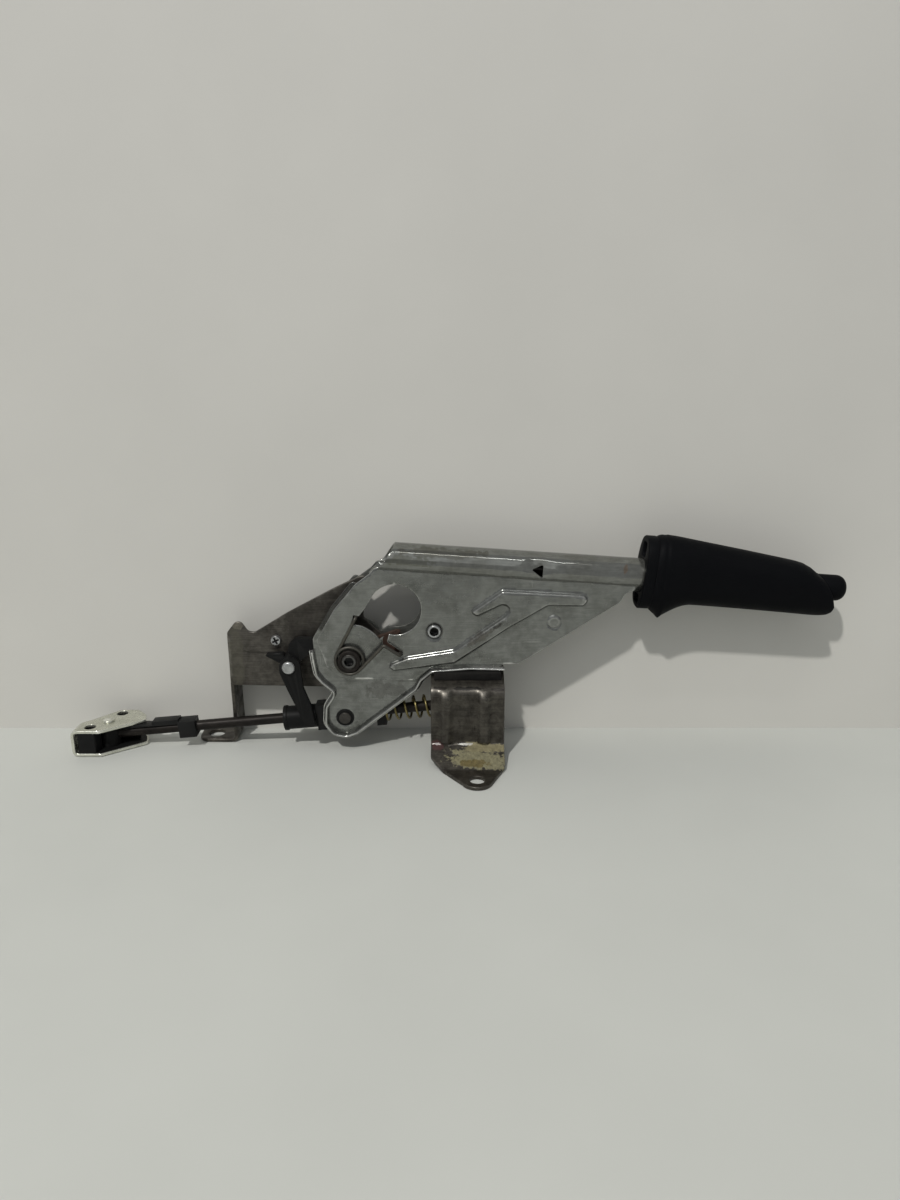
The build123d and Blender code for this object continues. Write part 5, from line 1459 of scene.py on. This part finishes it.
def stage():
    """Floor, wall, lamps, world and the camera at the photograph's angle, in metres."""
    look = bpy.context.scene.brake_lever_stage
    front, back, reach = -0.5, 0.0815, 2.5
    plane("stage_floor", [(-reach, front, 0), (reach, front, 0), (reach, back, 0), (-reach, back, 0)],
          look.floor_colour)
    plane("stage_wall", [(-reach, back, 0), (reach, back, 0), (reach, back, reach),
                         (-reach, back, reach)], look.wall_colour)
    area_light("key", (-1.2, -2.8, 3.55), (0, 0.05, 0.07), (0.165, 0.165), look.key_power,
               (1.0, 0.98, 0.95))
    area_light("fill", (-0.5, -1.9, 1.7), (0, 0.05, 0.05), (2.0, 2.0), look.fill_power,
               (0.97, 0.99, 1.0))
    area_light("strip", (0.02, -1.6, 3.4), (0, 0.05, 0.1), (1.65, 0.075), look.strip_power)
    area_light("back", (0.2, 1.4, 1.1), (0, 0.05, 0.05), (1.0, 1.0), look.fill_power * 0.7)
    world = bpy.data.worlds.new("studio")
    world.use_nodes = True
    world.node_tree.nodes.clear()
    net = Net(world.node_tree)
    seen = net.add("ShaderNodeLightPath").outputs["Is Camera Ray"]
    room = net.add("ShaderNodeBackground", inputs={
        "Color": (0.86, 0.88, 0.9, 1), "Strength": look.room_light})
    pale = net.add("ShaderNodeBackground", inputs={"Color": (0.62, 0.62, 0.61, 1), "Strength": 1.0})
    both = net.add("ShaderNodeMixShader", inputs={0: seen, 1: room.outputs[0], 2: pale.outputs[0]})
    net.add("ShaderNodeOutputWorld", inputs={"Surface": both.outputs[0]})
    bpy.context.scene.world = world
    lens = bpy.data.cameras.new("camera")
    lens.lens = 27.0
    lens.clip_start = 0.01
    camera = linked("camera", lens)
    camera.location = (-0.0170, -0.5079, 0.2759)
    camera.rotation_euler = (math.radians(90 - CAMERA_DOWN), 0, 0)
    bpy.context.scene.camera = camera
    bpy.context.scene.view_settings.view_transform = "Standard"


# Add-on: settings, operators and panel

class LeverSizes(bpy.types.PropertyGroup):
    """Sizes of the pressed shapes and the wires."""

    rib_height: FloatProperty(
        name="Rib height", description="Height of the ribs pressed in the front leg, in mm",
        default=1.8, min=0.2, max=2.2)
    rim_height: FloatProperty(
        name="Rim height", description="Height of the rim turned out on the ear plate, in mm",
        default=4.0, min=1.0, max=4.0)
    wire_sides: IntProperty(
        name="Wire sides", description="Facets round a spring's wire", default=14, min=8, max=32)


class StageSettings(bpy.types.PropertyGroup):
    """Colours and lamps of the stage."""

    floor_colour: FloatVectorProperty(
        name="Floor", description="Colour of the floor", subtype="COLOR",
        default=(0.54, 0.552, 0.52), min=0, max=1)
    wall_colour: FloatVectorProperty(
        name="Wall", description="Colour of the wall", subtype="COLOR",
        default=(0.56, 0.552, 0.515), min=0, max=1)
    key_power: FloatProperty(
        name="Key lamp", description="Power of the key lamp", default=122.0, min=0, unit="POWER")
    fill_power: FloatProperty(
        name="Fill lamp", description="Power of the fill lamp", default=6.0, min=0, unit="POWER")
    strip_power: FloatProperty(
        name="Strip lamp", description="Power of the long lamp overhead", default=7.5, min=0,
        unit="POWER")
    room_light: FloatProperty(
        name="Room light", description="Strength of the light from all round", default=0.36, min=0,
        max=2)


def operator(job, name, label, text):
    """An operator class that runs one maker."""
    def execute(self, context):
        job()
        return {"FINISHED"}
    return type("BRAKE_OT_" + name, (bpy.types.Operator,), {
        "__doc__": text, "bl_idname": "brake_lever." + name, "bl_label": label, "execute": execute})


OPERATORS = [operator(*row) for row in (
    (lever_tube, "tube", "Handle tube", "Makes the handle tube"),
    (lever_legs, "legs", "Lever legs", "Makes the lever's two pressed legs"),
    (ear_plates, "ears", "Ear plates", "Makes the ear plates and their rim"),
    (bracket_plate, "plate", "Bracket plate", "Makes the bracket plate"),
    (rear_foot, "rear_foot", "Rear foot", "Makes the beaded rear foot"),
    (front_foot, "front_foot", "Front foot", "Makes the front foot"),
    (equaliser, "equaliser", "Equaliser", "Makes the equaliser's strap and its liners"),
    (springs, "springs", "Springs", "Makes the three springs"),
    (grip, "grip", "Grip", "Makes the moulded grip and its collar"),
    (push_button, "button", "Button", "Makes the release button"),
    (small_parts, "small_parts", "Small parts", "Finishes the pins, rivets, clips and mouldings"),
    (stage, "stage", "Stage", "Makes the floor, wall, lamps and camera"),
)]


class BRAKE_PT_panel(bpy.types.Panel):
    """Panel with the lever's makers."""

    bl_label = "Brake Lever"
    bl_idname = "BRAKE_PT_panel"
    bl_space_type = "VIEW_3D"
    bl_region_type = "UI"
    bl_category = "Brake Lever"

    def draw(self, context):
        """Lists the settings and the operators."""
        for settings in (context.scene.brake_lever_sizes, context.scene.brake_lever_stage):
            for name in settings.__annotations__:
                self.layout.prop(settings, name)
        for made in OPERATORS:
            self.layout.operator(made.bl_idname)


CLASSES = [LeverSizes, StageSettings, *OPERATORS, BRAKE_PT_panel]


def register():
    """Adds the classes and their settings."""
    for made in CLASSES:
        bpy.utils.register_class(made)
    bpy.types.Scene.brake_lever_sizes = PointerProperty(type=LeverSizes)
    bpy.types.Scene.brake_lever_stage = PointerProperty(type=StageSettings)


def unregister():
    """Removes the settings and the classes."""
    del bpy.types.Scene.brake_lever_stage
    del bpy.types.Scene.brake_lever_sizes
    for made in reversed(CLASSES):
        bpy.utils.unregister_class(made)


def main():
    """Makes every piece and the stage, and writes the two boxes."""
    register()
    for made in OPERATORS:
        getattr(bpy.ops.brake_lever, made.bl_idname.split(".")[1])()
    with open("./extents.json", "w") as file:
        json.dump({"cad": CAD_BOX, "visual": [list(corner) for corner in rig.bounds()]}, file)


if __name__ == "__main__":
    main()
